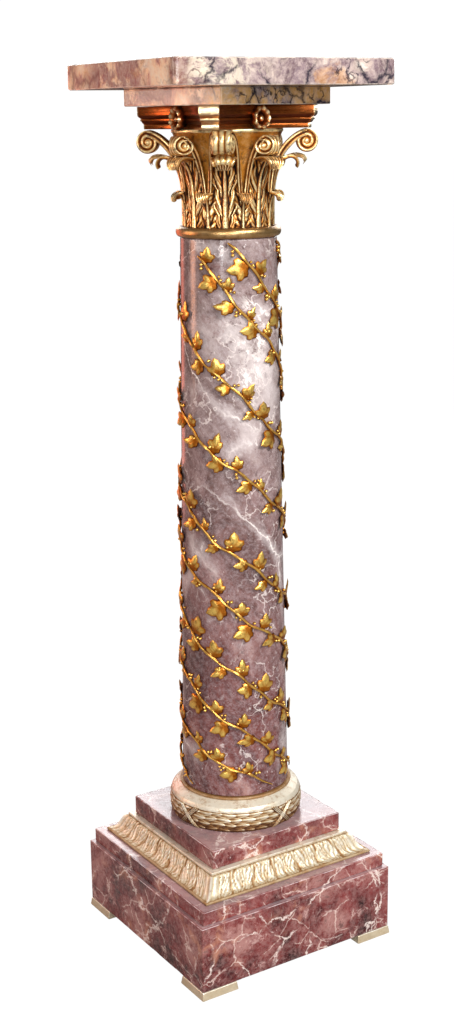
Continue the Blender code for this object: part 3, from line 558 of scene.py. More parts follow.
def top_marble():
    """Breccia: tan and cream lumps, their own colour brightened with painted light, where y is over x; cream
    and lavender grey, darkened with painted shade, elsewhere; with dark blue veins. The two colourings part
    sharply at the near corner and mingle on the upper face."""
    material, tree, shader = new_material("top_marble", 0.14)
    coordinates, space = stone_space(tree, (0.1, 0.6, 0.3), 0.040, 14.0)
    parts = add(tree, "ShaderNodeSeparateXYZ", {0: coordinates}).outputs
    across = maths(tree, "SUBTRACT", parts[0], parts[1])
    inward = maths(tree, "ADD", parts[0], parts[1])
    lower = mapped(tree, parts[2], UNDER_SLAB_TOP, UNDER_SLAB_TOP + 0.001, 1.0, 0.0)
    mingled = times(tree, mapped(tree, inward, -0.30, -0.20), maths(tree, "SUBTRACT", 1.0, lower))
    spread = mapped(tree, mingled, 0.0, 1.0, 0.012, 0.110)
    stray = maths(tree, "SUBTRACT", noise(tree, coordinates, 9.0, 8.0, 0.65, 0.6), 0.5)
    stray = times(tree, times(tree, stray, mingled), 12.0)
    border = maths(tree, "ADD", maths(tree, "DIVIDE", across, spread), stray)
    # Part real colouring and part painted light: the tan side is painted as lit, the grey side as shaded.
    grey_shaded_side = mapped(tree, border, -1.0, 1.0)
    lumps = noise(tree, space, 24.0, 10.0, 0.74, 0.5)
    # The tan stops are lightened with painted light, the grey stops darkened with painted shade.
    tan = ramp(tree, lumps, ((0.35, 136, 74, 76), (0.43, 222, 160, 138), (0.49, 252, 206, 166),
                             (0.57, 255, 226, 194), (0.66, 255, 246, 234)))
    grey = ramp(tree, lumps, ((0.34, 40, 32, 44), (0.43, 104, 82, 90), (0.50, 136, 116, 122),
                              (0.57, 176, 156, 148), (0.66, 236, 228, 218)))
    window = times(tree, mapped(tree, across, -0.26, -0.20), mapped(tree, across, -0.12, -0.06, 1.0, 0.0))
    window = times(tree, window, patches(tree, space, 0.42, 0.50, 22.0, 8.0, 0.68))
    tan = stain(tree, tan, window, 0.78, (144, 84, 88))
    near_left = times(tree, mapped(tree, across, -0.046, -0.020),
                      patches(tree, space, 0.40, 0.52, 30.0, 7.0, 0.7))
    tan = stain(tree, tan, near_left, 0.85, (88, 46, 50))
    near_right = times(tree, mapped(tree, across, 0.03, 0.15, 1.0, 0.0),
                       patches(tree, space, 0.45, 0.55, 44.0, 8.0, 0.75, 0.4))
    grey = stain(tree, grey, near_right, 0.66, (238, 226, 200))
    inky = times(tree, mapped(tree, across, 0.03, 0.15, 1.0, 0.12),
                 patches(tree, space, 0.56, 0.63, 34.0, 9.0, 0.78, 0.6))
    grey = stain(tree, grey, inky, 0.80, (66, 66, 84))
    gold = times(tree, lower, patches(tree, space, 0.40, 0.54, 24.0, 7.0, 0.7))
    grey = stain(tree, grey, gold, 0.85, (214, 164, 84))
    colour = blend_colour(tree, grey_shaded_side, tan, grey)
    grain = patches(tree, space, 0.40, 0.62, 130.0, 8.0, 0.8)
    colour = stain(tree, colour, grain, 0.36, (226, 208, 196))
    ochre = patches(tree, space, 0.58, 0.68, 16.0, 5.0, 0.6)
    colour = stain(tree, colour, ochre, 0.45, (206, 150, 84))
    dark = blend_colour(tree, grey_shaded_side, srgb(120, 66, 68), srgb(30, 28, 44))
    shown = mapped(tree, grey_shaded_side, 0.0, 1.0, 0.40, 0.90)
    core, halo = cracks(tree, space, 17.0, 0.050, 0.160)
    colour = stain(tree, colour, masked(tree, halo, space, 13.0, 0.44, 0.58), 0.40, dark)
    colour = stain(tree, colour, masked(tree, core, space, 13.0, 0.40, 0.52), shown, dark)
    lines = masked(tree, threads(tree, space, 36.0, 0.026, 9.0), space, 15.0, 0.46, 0.58)
    colour = stain(tree, colour, lines, shown, dark)
    colour = worn_arris_highlight_and_top_sheen(tree, colour, (228, 214, 200))
    roughness = mapped(tree, grain, 0.0, 1.0, 0.12, 0.22)
    finish(tree, shader, colour, roughness, noise(tree, coordinates, 240.0, 3.0), 0.00010)
    return material


def gilding(name, stops, roughness, metallic, grain, worn_tint, patina):
    """Gilt bronze: colour by the relief attribute, which paints shade into the hollows and highlights onto
    the crests of the casting; worn and dulled by noise, lightly pitted.

    patina is the strength of its dark spots.
    """
    material, tree, shader = new_material(name, roughness, metallic)
    coordinates = object_space(tree)
    uneven = maths(tree, "MULTIPLY_ADD", noise(tree, coordinates, 62.0, 8.0, 0.80), 0.56, -0.28)
    # Painted shade and highlight: the relief attribute, unevened by noise, picks the colour from dark hollows
    # to pale crests.
    shade = maths(tree, "ADD", relief_shade(tree), uneven, clamp=True)
    wear = patches(tree, coordinates, 0.50, 0.66, 130.0, 5.0, 0.75)
    colour = stain(tree, ramp(tree, shade, stops), wear, 0.55, worn_tint)
    spots = patches(tree, coordinates, 0.52, 0.60, 80.0, 8.0, 0.82)
    colour = stain(tree, colour, spots, patina, (52, 42, 38))
    dull = mapped(tree, shade, 0.0, 0.8, roughness + 0.26, roughness)
    finish(tree, shader, colour, dull, noise(tree, coordinates, grain, 4.0, 0.6), 0.00035, 0.6)
    return material


def turned(radius, level, columns, relief):
    """Closed turned form: rings at radii and levels from the underside to the top.

    Radius, level and relief hold one value a ring or one value a point.
    """
    def by_ring(values):
        values = np.asarray(values, float)
        return values[:, None] if values.ndim == 1 else values
    angle = 360.0 * np.arange(columns)[None, :] / columns
    radius, level, relief = by_ring(radius), by_ring(level), by_ring(relief)
    radius, level, relief, angle = np.broadcast_arrays(radius, level, relief, angle)
    return closed_tube(radius[..., None] * direction(angle) + level[..., None] * UP, relief)


def square_ring(half, corner, count):
    """Outline of a square with rounded corners: its points and the length along it."""
    places = []
    share = np.linspace(-1.0, 1.0, count)[:, None]
    for side in range(4):
        outward, along = direction(90.0 * side), direction(90.0 * side + 90.0)
        places.append(half * outward + (half - corner) * share * along)
        arc = direction(90.0 * side + np.linspace(0.0, 90.0, 6)[1:-1])
        places.append((half - corner) * (outward + along) + corner * arc)
    places = np.concatenate(places)
    steps = np.linalg.norm(np.diff(places, axis=0, append=places[:1]), axis=1)
    return places, np.concatenate(((0.0,), np.cumsum(steps)[:-1]))


def slab(half, foot, top, edge, corner, turn=0.0, centre=(0.0, 0.0), chips=0.0, seed=1, draw_in=0.0):
    """A square slab with rounded arrises; chips take small hollows out of its upper and lower arris.

    draw_in sets the top in from the foot on every side.
    """
    places, length = square_ring(half, corner, SLAB_SIDE_POINTS)
    draw = np.random.default_rng(seed)
    middle = draw.uniform(0.0, length[-1], CHIP_COUNT)[:, None]
    size = draw.uniform(0.0015, 0.006, CHIP_COUNT)[:, None]
    depth = draw.uniform(0.1, 1.0, CHIP_COUNT)[:, None] ** 3
    hollow = (chips * depth * hill(length[None, :], middle, size)).sum(axis=0)
    arc = np.radians(np.linspace(0.0, 90.0, 5))
    inset = np.concatenate(((6 * edge, 2.2 * edge), edge * (1 - np.sin(arc)), (0.0,)))
    rise = np.concatenate(((0.0, 0.0), edge * (1 - np.cos(arc)), (2.2 * edge,)))
    share = np.concatenate(((0.0, 0.0), np.sqrt(np.clip(np.sin(2 * arc), 0.0, 1.0)), (0.0,)))
    level = np.concatenate((foot + rise, top - rise[::-1]))
    sink = np.concatenate((share, -share[::-1]))
    inward = np.concatenate((inset, inset[::-1])) + draw_in * (level - foot) / (top - foot)
    reach = inward[:, None] + np.abs(sink)[:, None] * hollow[None, :]
    points = places[None] * (1.0 - reach / half)[..., None]
    points = points + (level[:, None] + sink[:, None] * hollow[None, :])[..., None] * UP
    spin = np.array(Matrix.Rotation(math.radians(turn), 3, "Z"))
    # Relief is highest on the arrises, which get a painted highlight, and low on the upper faces, which the
    # marble paints with a sheen.
    relief = 0.5 + 0.5 * np.repeat(np.abs(sink)[:, None], len(length), axis=1)
    relief[-2:] = TOP_FACE_RELIEF
    return closed_tube(points @ spin.T + np.array((*centre, 0.0)), relief)


def upright_leaf(across, up):
    """Height from 0 to 1 of one carved upright leaf: across from -1 to 1, up from 0 to 1.

    Inside an outline that narrows towards its tip, strands follow phase = 2.6 up - 3.4 |across|,
    finely ridged, beside a raised midrib.
    """
    side = np.abs(across)
    phase = 2.6 * up - 3.4 * side
    envelope = 0.98 - 0.20 * up ** 2 - 0.62 * np.clip(up - 0.80, 0.0, 1.0) ** 0.8
    share = side / (envelope * (0.94 + 0.06 * arches(5.0 * up, 1.0)))
    body = 0.22 + 0.62 * arches(phase, 0.6) * smooth_step(share, 0.08, 0.35)
    ridges = 0.10 * np.cos(4 * np.pi * phase) * smooth_step(share, 0.35, 0.7)
    midrib = 0.72 * hill(across, 0.0, 0.11)
    return smooth_step(-share, -1.0, -0.88) * (np.maximum(body + ridges, midrib) - 0.16 * share ** 3)


def leaf_moulding_chunk():
    """The square moulding: an S section between two fillets, carried round with mitred corners.

    The section's upright leaves repeat along each side, swaying and pierced by small hollows, with
    narrow darts between them and plain ridged corners.
    """
    foot, top = levels_of("leaf_moulding")
    half = box_of("leaf_moulding")[1][0]
    curve = np.linspace(0.0, 1.0, 46)
    crown = top - foot - MOULDING_HIGH_FILLET
    inward = curve + 0.12 * np.sin(np.pi * curve)
    rise = curve - 0.16 * np.sin(2 * np.pi * curve)
    low_inset = np.array((0.006, 0.0007, 0.0001, 0.0, 0.0001, 0.0009, 0.0016))
    high_inset = MOULDING_INSET - np.array((0.0007, 0.0012, 0.0012, 0.0006, -0.003))
    side_inset = low_inset[-1] + (MOULDING_INSET - 0.0030) * inward
    distance = half - np.concatenate((low_inset, side_inset, high_inset))
    low, high = MOULDING_LOW_FILLET, MOULDING_HIGH_FILLET
    low_rise = np.array((0.0, 0.0, 0.0006, 0.0016, 0.0027, low, low + 0.0001))
    high_rise = crown + np.array((0.0, 0.0006, high - 0.0008, high, high))
    level = np.concatenate((low_rise, low + 0.0002 + (crown - low - 0.0004) * rise, high_rise))
    middle = slice(len(low_rise), len(low_rise) + len(curve))
    carved = np.zeros((len(level), 1))
    carved[middle, 0] = np.sin(np.pi * np.clip(curve * 1.04 - 0.02, 0.0, 1.0)) ** 0.35
    climb = np.zeros((len(level), 1))
    climb[middle, 0] = curve
    share = np.linspace(-1.0, 1.0, MOULDING_SIDE_POINTS, endpoint=False)[None, :]
    cell = (share + 1.0) / 2 * MOULDING_LEAVES
    across = 2.0 * (np.mod(cell, 1.0) - 0.5)
    lap = 2 * np.pi * cell / MOULDING_LEAVES
    sway = 0.13 * ripple(11.0 * lap + 7.0 * climb, 5.0 * lap - 9.0 * climb + 1.0)
    field = upright_leaf(across + sway, climb)
    holes = smooth_step(ripple(67.0 * lap - 19.0 * climb, 43.0 * lap + 31.0 * climb), 0.55, 0.95)
    field = field * (0.86 + 0.14 * ripple(29.0 * lap + 13.0 * climb)) - 0.32 * holes
    darts = 0.62 * hill(np.abs(across), 1.0, 0.12) * (0.35 + 0.65 * smooth_step(climb, 0.35, 0.8))
    corner = 1.0 - np.abs(share)
    plain = smooth_step(-corner, -0.125, -0.085)
    ridge = hill(corner, 0.0, 0.018) + 0.45 * hill(corner, 0.075, 0.02)
    field = (np.maximum(field, darts) * (1 - plain) + (0.35 + 0.65 * ridge) * plain) * carved
    fillets = np.where(level < crown / 2, 0.30, 0.66)[:, None]
    relief = np.where(carved > 0.0, np.clip(0.12 + 0.92 * field, 0.0, 1.0), fillets)
    reach = np.minimum(distance[:, None] + MOULDING_LEAF_DEPTH * (field - 0.45 * carved), half)
    sides = [spot(reach, 90.0 * side, share * reach, (foot + level)[:, None]) for side in range(4)]
    return closed_tube(np.concatenate(sides, axis=1), np.tile(relief, (1, 4)))


def pointed_leaf(along, across):
    """Height from 0 to 1 of a laurel leaf: along runs 0 to 1 from root to tip, across from -1 to 1.

    Inside its outline, sin(pi along^0.85), the leaf rises to its tip; fine ribs run along it beside
    a raised midrib.
    """
    inside = np.clip(along, 0.0, 1.0)
    share = np.abs(across) / np.maximum(np.sin(np.pi * inside ** 0.85), 0.001) ** 0.8
    body = np.clip(1.0 - share ** 2.4, 0.0, 1.0) ** 0.6 * (0.42 + 0.42 * inside)
    ribs = 0.10 * np.cos(6 * np.pi * share) * smooth_step(share, 0.12, 0.3) + 0.18 * hill(across, 0.0, 0.10)
    return np.where((along > 0.0) & (along < 1.0) & (share < 1.0), body + ribs, 0.0)


def laurel_field(around, up):
    """Height of the laurel wreath: four staggered rows of leaves that overlap along the ring.

    around runs in leaf lengths, up from 0 to 1 over the leafy part.
    """
    height = np.zeros(np.broadcast(around, up).shape)
    for row in range(-1, LAUREL_ROWS + 1):
        across = (up - (row + 0.5) / LAUREL_ROWS) * LAUREL_ROWS * 0.62
        for shift in (0.0, 1.0):
            along = np.mod(around + 0.5 * (row % 2) + shift, 2.0) * 0.62
            height = np.maximum(height, 0.96 * pointed_leaf(along, across))
    return height


def laurel_ring_chunk():
    """The base ring: torus with laurel and berries, smooth shoulder, thin top fillet, and four
    crossings of fluted ribbon with a shadow on both sides.

    Section: radius = foot + (torus - foot) cos(turn)^0.7 below, a straight slope above, and a bead.
    """
    foot, top = levels_of("laurel_ring")
    torus = box_of("laurel_ring")[1][0]
    foot_radius = torus - RING_FOOT_INSET
    fillet = torus - RING_FILLET_INSET
    neck = top - RING_FILLET_HEIGHT
    turn = np.radians(np.linspace(-62.0, 74.0, 64))
    body_radius = foot_radius + (torus - RING_STEP - foot_radius) * np.maximum(np.cos(turn), 0.0) ** 0.7
    body_level = (neck - foot) * (0.42 + 0.46 * np.sin(turn))
    body_level = foot + body_level - body_level[0]
    slope = np.linspace(0.0, 1.0, 7)[1:]
    slope_radius = body_radius[-1] + (fillet - RING_STEP - body_radius[-1]) * slope
    slope_level = body_level[-1] + (neck - body_level[-1]) * slope
    bead = np.radians(np.linspace(-80.0, 80.0, 9))
    bead_radius = fillet - RING_STEP + 0.0014 * np.cos(bead)
    bead_level = (neck + top) / 2 + (top - neck) / 2 * np.sin(bead)
    radius = np.concatenate(((body_radius[0] - 0.006,), body_radius, slope_radius, bead_radius,
                             (fillet - 0.003,)))
    level = np.concatenate(((foot,), body_level, slope_level, bead_level, (top,)))
    smooth_rings = len(level) - 1 - len(turn)
    leafy = np.concatenate(((0.0,), smooth_step(-turn, -0.78, -0.55), np.zeros(smooth_rings)))[:, None]
    up = np.concatenate(((0.0,), (np.sin(turn) + 0.88) / 1.56, np.full(smooth_rings, 1.1)))[:, None]
    angle = 360.0 * np.arange(RING_COLUMNS)[None, :] / RING_COLUMNS
    lap = np.radians(angle)
    sway = 0.16 * ripple(7.0 * lap + 5.0 * up, 13.0 * lap - 8.0 * up + 1.0)
    lean_up = 0.035 * ripple(11.0 * lap, 17.0 * lap + 2.0)
    field = laurel_field(angle / LAUREL_LENGTH + sway, up + lean_up) * leafy
    berry_around = np.mod(2 * angle / LAUREL_LENGTH + 0.5 * np.floor(up * 5.0), 1.0) - 0.5
    berry_up = np.mod(up * 5.0, 1.0) - 0.5
    buds = np.clip(1.0 - ((berry_around / 0.20) ** 2 + (berry_up / 0.36) ** 2), 0.0, 1.0) ** 0.5
    field = np.maximum(field, 0.72 * buds * leafy * (field < 0.30))
    offset = np.mod(angle - RIBBON_TURN + 45.0, 90.0) - 45.0
    lean = (up - 0.50) * 19.0
    bands = np.zeros_like(field)
    shadow = np.zeros_like(field)
    for side in (-1.0, 1.0):
        distance = np.abs(offset - side * lean)
        flute = 0.58 + 0.42 * np.cos(2 * np.pi * distance / 1.7)
        bands = np.maximum(bands, smooth_step(-distance, -2.7, -2.3) * flute)
        shadow = np.maximum(shadow, hill(distance, 3.3, 0.7))
    ribbon = bands * smooth_step(-up, -1.02, -0.96)
    field = np.where(ribbon > 0.1, 0.55 + 0.60 * ribbon, field)
    leaves = 1.9 * np.clip(field, 0.0, 1.0) - 0.96 - 0.7 * shadow
    relief = np.where(ribbon > 0.1, 1.1 * ribbon ** 1.5 - 0.1, leaves)
    # Painted shade: the leaves darken towards the bottom of the torus.
    relief = relief - 0.46 * smooth_step(-up, -0.62, 0.0)
    plain = np.concatenate(((0.3,), np.full(len(turn) + len(slope), 0.66), np.full(len(bead), 0.24), (0.2,)))
    relief = np.where((leafy < 0.5) & (ribbon < 0.1), plain[:, None], relief)
    raised = field * np.maximum(leafy, ribbon.max(axis=1)[:, None])
    spread = np.minimum(radius[:, None] + RING_LEAF_DEPTH * (raised - 0.7 * leafy), torus)
    return turned(spread, level, RING_COLUMNS, np.clip(relief, 0.0, 1.0))


def shaft_radius(level):
    """Radius of the shaft at a level above the floor."""
    return SHAFT_FOOT_RADIUS - SHAFT_TAPER * (level - SHAFT_FOOT) / SHAFT_LENGTH


def shaft_chunk():
    """The shaft: a straight taper with softened ends."""
    edge = 0.0010
    body = np.linspace(SHAFT_FOOT + 2 * edge, SHAFT_TOP - 2 * edge, 40)
    level = np.concatenate(((SHAFT_FOOT, SHAFT_FOOT + edge), body, (SHAFT_TOP - edge, SHAFT_TOP)))
    radius = shaft_radius(level)
    radius[[0, -1]] -= edge
    return turned(radius, level, SHAFT_COLUMNS, 0.8)


def neck_ring_chunk():
    """The neck ring: a flattened half round between two small steps."""
    foot, top = levels_of("neck_ring")
    turn = np.radians(np.linspace(-90.0, 90.0, 21))
    bulge = np.maximum(np.cos(turn), 0.0)
    outer = box_of("neck_ring")[1][0]
    radius = np.pad(outer - NECK_RING_DEPTH * (1.0 - bulge ** 0.72), 1, mode="edge")
    radius[[0, -1]] -= NECK_RING_LIP
    level = np.pad(foot + (top - foot) * (0.5 + 0.5 * np.sin(turn)), 1, mode="edge")
    # Painted highlight on the front of the half round, painted shade where it turns up and down.
    relief = np.concatenate(((0.3,), 0.25 + 0.55 * bulge ** 0.5, (0.3,)))
    return turned(radius, level, SHAFT_COLUMNS, relief)


def strand_line(strand):
    """Even stations along an ivy strand: angle, level and length.

    level = foot + length (1 - drop - fall turns + easing turns^2) + a small wave, as on the solid.
    """
    start_angle, start_drop, first_fall, easing = strand
    turns = np.linspace(0.0, 3.0, 3001)
    wave = IVY_MEANDER * np.sin(2 * np.pi * IVY_MEANDERS * turns)
    level = SHAFT_FOOT + SHAFT_LENGTH * (1.0 - start_drop - first_fall * turns + easing * turns ** 2) + wave
    angle = start_angle + 360.0 * turns
    last = int(np.argmax(level < SHAFT_FOOT + IVY_FOOT_CLEARANCE)) or len(level)
    angle, level = angle[:last], level[:last]
    aside = np.radians(np.diff(angle)) * shaft_radius(level[:-1])
    length = np.concatenate(((0.0,), np.cumsum(np.hypot(aside, np.diff(level)))))
    return angle, level, length


def carried_tube(path, outward, half_width, half_depth, sides, dents=0.0):
    """Rings of a tube along a path, and a painted shade for them: lighter on the outward side, darker on the
    inward side. Its section is an ellipse, wide across and deep along outward.
    """
    ahead = np.gradient(path, axis=0)
    ahead /= np.linalg.norm(ahead, axis=1)[:, None]
    out = outward - (outward * ahead).sum(axis=1)[:, None] * ahead
    out /= np.linalg.norm(out, axis=1)[:, None]
    turn = -2 * np.pi * np.arange(sides) / sides
    swell = 1.0 + dents
    wide = half_width[:, None] * np.cos(turn) * swell
    deep = half_depth[:, None] * np.sin(turn) * swell
    rings = path[:, None] + wide[..., None] * np.cross(ahead, out)[:, None] + deep[..., None] * out[:, None]
    # Painted light: the tube is lighter on its outward side and darker on the side facing in.
    return rings, np.broadcast_to(0.42 + 0.36 * np.sin(turn), wide.shape)


def ivy_leaf_grid():
    """One ivy leaf of unit length: places along and across, lift, and relief, as rings about its middle.

    The outline has a middle lobe ahead, two side lobes, and narrows towards its stalk.
    """
    turn = np.radians(np.arange(20) * 18.0)
    bend = np.degrees(np.abs(np.arctan2(np.sin(turn), np.cos(turn))))
    outline = np.interp(bend, (0.0, 18.0, 36.0, 54.0, 72.0, 90.0, 108.0, 126.0, 144.0, 180.0),
                        (0.76, 0.60, 0.45, 0.58, 0.54, 0.40, 0.43, 0.36, 0.27, 0.31))
    vein = np.maximum(np.cos(turn / 2) ** 24, hill(bend, 63.0, 12.0))
    rings = np.array((0.42, 0.76, 1.0))
    along = 0.34 + rings[:, None] * outline * np.cos(turn)
    across = rings[:, None] * outline * np.sin(turn) * 1.08
    lift = np.array((0.92, 0.78, 0.34))[:, None] + vein * np.array((0.16, 0.20, 0.10))[:, None]
    # Painted shade on each leaf: darker at its rim, and darker near its stalk where the stem shades it.
    relief = np.array((0.46, 0.56, 0.16))[:, None] + 0.50 * vein
    return along, across, lift, relief - 0.30 * smooth_step(-along, -0.30, 0.05)


def ivy_leaves(angle, level, heading, size, slim, curl, roll):
    """Many ivy leaves at once: each unit leaf is turned to its heading and wound onto the shaft.

    Its lift grows along the leaf by the curl and across it by the roll.
    """
    rings = ivy_leaf_grid()
    middles = np.array(((0.34, 0.0, 0.80, 0.50), (0.34, 0.0, 0.10, 0.10)))
    unit = np.concatenate((np.stack(rings, axis=-1).reshape(-1, 4), middles))
    angle, level, heading, size, slim, curl, roll = (
        values[:, None] for values in (angle, level, heading, size, slim, curl, roll))
    ahead = unit[:, 0] * size
    aside = unit[:, 1] * size * slim * (1.0 + 0.30 * roll * np.sign(unit[:, 1]))
    height = level + np.sin(heading) * ahead + np.cos(heading) * aside
    radius = shaft_radius(height)
    turn = angle + np.degrees((np.cos(heading) * ahead - np.sin(heading) * aside) / radius)
    lean = curl * unit[:, 0] + roll * unit[:, 1]
    tilt = 0.0004 + unit[:, 2] * IVY_LEAF_LIFT + np.maximum(IVY_LEAF_TILT * lean, -0.0002)
    grid = np.arange(rings[0].size).reshape(rings[0].shape)
    after = np.roll(grid, -1, axis=1)
    quads = np.stack((grid[:-1], grid[1:], after[1:], after[:-1]), axis=-1).reshape(-1, 4)
    top = np.stack((np.full(grid.shape[1], grid.size), grid[0], after[0]), axis=1)
    back = np.stack((np.full(grid.shape[1], grid.size + 1), after[-1], grid[-1]), axis=1)
    return copies(spot(radius + tilt, turn, 0.0, height), quads, np.concatenate((top, back)), unit[:, 3])


def berries(centres, outward, radius):
    """Small round buds at centres, a little longer outward than they are wide."""
    rows, around = 5, 8
    lean = np.radians(np.linspace(-66.0, 66.0, rows))[:, None, None]
    turn = (2 * np.pi * np.arange(around) / around)[:, None]
    side = np.cross(UP, outward)
    upward = np.cross(outward, side)
    centres, outward, side, upward = (each[:, None, None] for each in (centres, outward, side, upward))
    radius = radius[:, None, None, None]
    ring = np.cos(lean) * (np.cos(turn) * side + np.sin(turn) * upward)
    body = centres + radius * (ring + 1.25 * np.sin(lean) * outward)
    ends = centres + 1.3 * radius * np.array((-1.0, 1.0))[:, None] * outward
    points = np.concatenate((body.reshape(len(body), -1, 3), ends[:, 0]), axis=1)
    grid = np.arange(rows * around).reshape(rows, around)
    after = np.roll(grid, -1, axis=1)
    quads = np.stack((grid[:-1], after[:-1], after[1:], grid[1:]), axis=-1).reshape(-1, 4)
    low = np.stack((np.full(around, grid.size), after[0], grid[0]), axis=1)
    high = np.stack((np.full(around, grid.size + 1), grid[-1], after[-1]), axis=1)
    # Painted light: each bud is bright at its outward tip and dark on the side towards the shaft.
    relief = np.concatenate((np.repeat(np.linspace(0.2, 0.95, rows), around), (0.1, 1.0)))
    return copies(points, quads, np.concatenate((low, high)), relief)


def ivy_chunks(number, strand):
    """One strand: knotty stem, leaves on both sides at changing angles, buds beside the stem.

    What changes from leaf to leaf follows golden shares of its place in the row.
    """
    angle, level, length = strand_line(strand)

    def place(stations):
        """Angle and level of the stem at stations, with a small bend at every leaf."""
        kink = IVY_KINK * np.sin(np.pi * stations / IVY_LEAF_SPACING)
        return np.interp(stations, length, angle), np.interp(stations, length, level) + kink

    stations = np.arange(0.0, length[-1], IVY_STEM_STEP)
    turn, height = place(stations)
    wander = 0.0006 * ripple(stations * 260.0 + number, stations * 410.0 + 2.0 * number)
    path = spot(shaft_radius(height) + IVY_STEM_STANDOFF + wander, turn, 0.0, height)
    knots = 1.0 + 0.14 * ripple(stations * 300.0, stations * 530.0 + number)
    taper = smooth_step(stations, -0.004, 0.010) * smooth_step(length[-1] - stations, -0.004, 0.040)
    thick = IVY_STEM_RADIUS * knots * (0.35 + 0.65 * taper)
    sides = 10
    bark = 0.10 * np.sin(6 * np.pi * np.arange(sides)[None, :] / sides + stations[:, None] * 160.0)
    chunks = [closed_tube(*carried_tube(path, direction(turn), thick, thick, sides, bark))]

    order = np.arange(int(length[-1] / IVY_LEAF_SPACING) - 1)
    pick = np.mod(order * GOLDEN_SHARE + 0.17 * number, 1.0)
    mark = (order + 0.75 + 0.35 * (pick - 0.5)) * IVY_LEAF_SPACING
    here, high = place(mark)
    ahead = np.interp(mark + IVY_LOOK_AHEAD, length, angle) - here
    drop = np.interp(mark + IVY_LOOK_AHEAD, length, level) - np.interp(mark, length, level)
    fall = np.arctan2(drop, np.radians(ahead) * shaft_radius(high))
    spread = np.radians(34.0 + 38.0 * np.mod(pick * 7.3, 1.0))
    heading = fall + np.pi + np.where(order % 2 == 1, 1.0, -1.0) * spread
    size = IVY_LEAF_LENGTH * (0.80 + 0.50 * np.mod(pick * 3.7, 1.0))
    slim = 0.60 + 0.40 * np.mod(pick * 11.3, 1.0)
    curl = -0.1 + 1.2 * np.mod(pick * 5.1, 1.0)
    roll = 1.6 * (np.mod(pick * 9.7, 1.0) - 0.5)
    kept = (high + size < SHAFT_TOP - 0.001) | (np.sin(heading) < 0.2)
    kept &= high - size > SHAFT_FOOT - 0.004
    chunks.append(ivy_leaves(*(values[kept] for values in (here, high, heading, size, slim, curl, roll))))

    spots = np.arange(0.012, length[-1] - 0.014, IVY_BERRY_SPACING)
    row = np.arange(len(spots))
    for step, (offset, reach, part) in enumerate(IVY_BERRIES):
        kept = np.mod(row * GOLDEN_SHARE + 0.31 * step, 1.0) < part
        along = spots[kept] + offset
        flank = reach * np.where(row[kept] % 3 == 0, -1.0, 1.0)
        bud_turn, bud_high = place(along)
        slope = np.interp(along, mark, fall)
        bud_turn = bud_turn - np.degrees(flank * np.sin(slope) / shaft_radius(bud_high))
        bud_high = bud_high + flank * np.cos(slope)
        radius = IVY_BERRY_RADIUS * (0.85 + 0.3 * np.mod(along * 313.0, 1.0))
        centres = spot(shaft_radius(bud_high) + radius * 0.9, bud_turn, 0.0, bud_high)
        chunks.append(berries(centres, direction(bud_turn), radius))
    return chunks


def bell_radius(height):
    """Radius of the bell: foot + (lip - foot) share^3.4 of its height."""
    share = np.clip(height / (CAPITAL_HEIGHT - BELL_LIP_HEIGHT), 0.0, 1.0)
    return BELL_FOOT_RADIUS + (BELL_LIP_RADIUS - BELL_FOOT_RADIUS) * share ** 3.4


def bell_chunk():
    """The bell of the capital with its thin rounded lip."""
    under = CAPITAL_HEIGHT - BELL_LIP_HEIGHT
    height = np.linspace(0.0, under, 28)
    radius = bell_radius(height) - 0.0012 * smooth_step(height, 0.6 * under, 0.9 * under)
    lip = np.radians(np.linspace(-90.0, 90.0, 7))
    radius = np.concatenate((radius, BELL_LIP_RADIUS - 0.0008 * (1.0 - np.cos(lip))))
    # Painted shade: the bell darkens towards its foot, under the leaves; its lip gets a painted highlight.
    body_relief = 0.34 + 0.16 * smooth_step(height, 0.2 * under, 0.8 * under)
    relief = np.concatenate((body_relief, np.full(len(lip), 0.92)))
    height = np.concatenate((height, under + BELL_LIP_HEIGHT * (0.5 + 0.5 * np.sin(lip))))
    return turned(radius, CAPITAL_FOOT + height, 120, relief)


def leaf_spine(shape):
    """Centre line of a curling leaf at even steps, root to tip: outward, up, and outward normal.

    It climbs as a flattened quarter ellipse, outward (1 - cos u)^1.6 against height sin u, and then
    rolls over on a circle whose radius shrinks by a third.
    """
    height, reach, curl = shape["height"], shape["reach"], shape["curl"]
    climb = np.radians(np.linspace(0.0, 88.0, 90))
    roll = np.radians(np.linspace(2.0, shape["turn_over"], 60))
    shrink = curl * (1.0 - 0.33 * roll / roll[-1])
    rolled_out = reach - curl + shrink * np.sin(roll)
    out = np.concatenate(((reach - curl) * (1 - np.cos(climb)) ** 1.6, rolled_out))
    up = np.concatenate((height * np.sin(climb), height - curl + shrink * np.cos(roll)))
    steps = np.concatenate(((0.0,), np.cumsum(np.hypot(np.diff(out), np.diff(up)))))
    even = np.linspace(0.0, steps[-1], shape["rows"])
    out, up = np.interp(even, steps, out), np.interp(even, steps, up)
    slope_out, slope_up = np.gradient(out), np.gradient(up)
    size = np.hypot(slope_out, slope_up)
    return (values[:, None] for values in (out, up, slope_up / size, -slope_out / size))


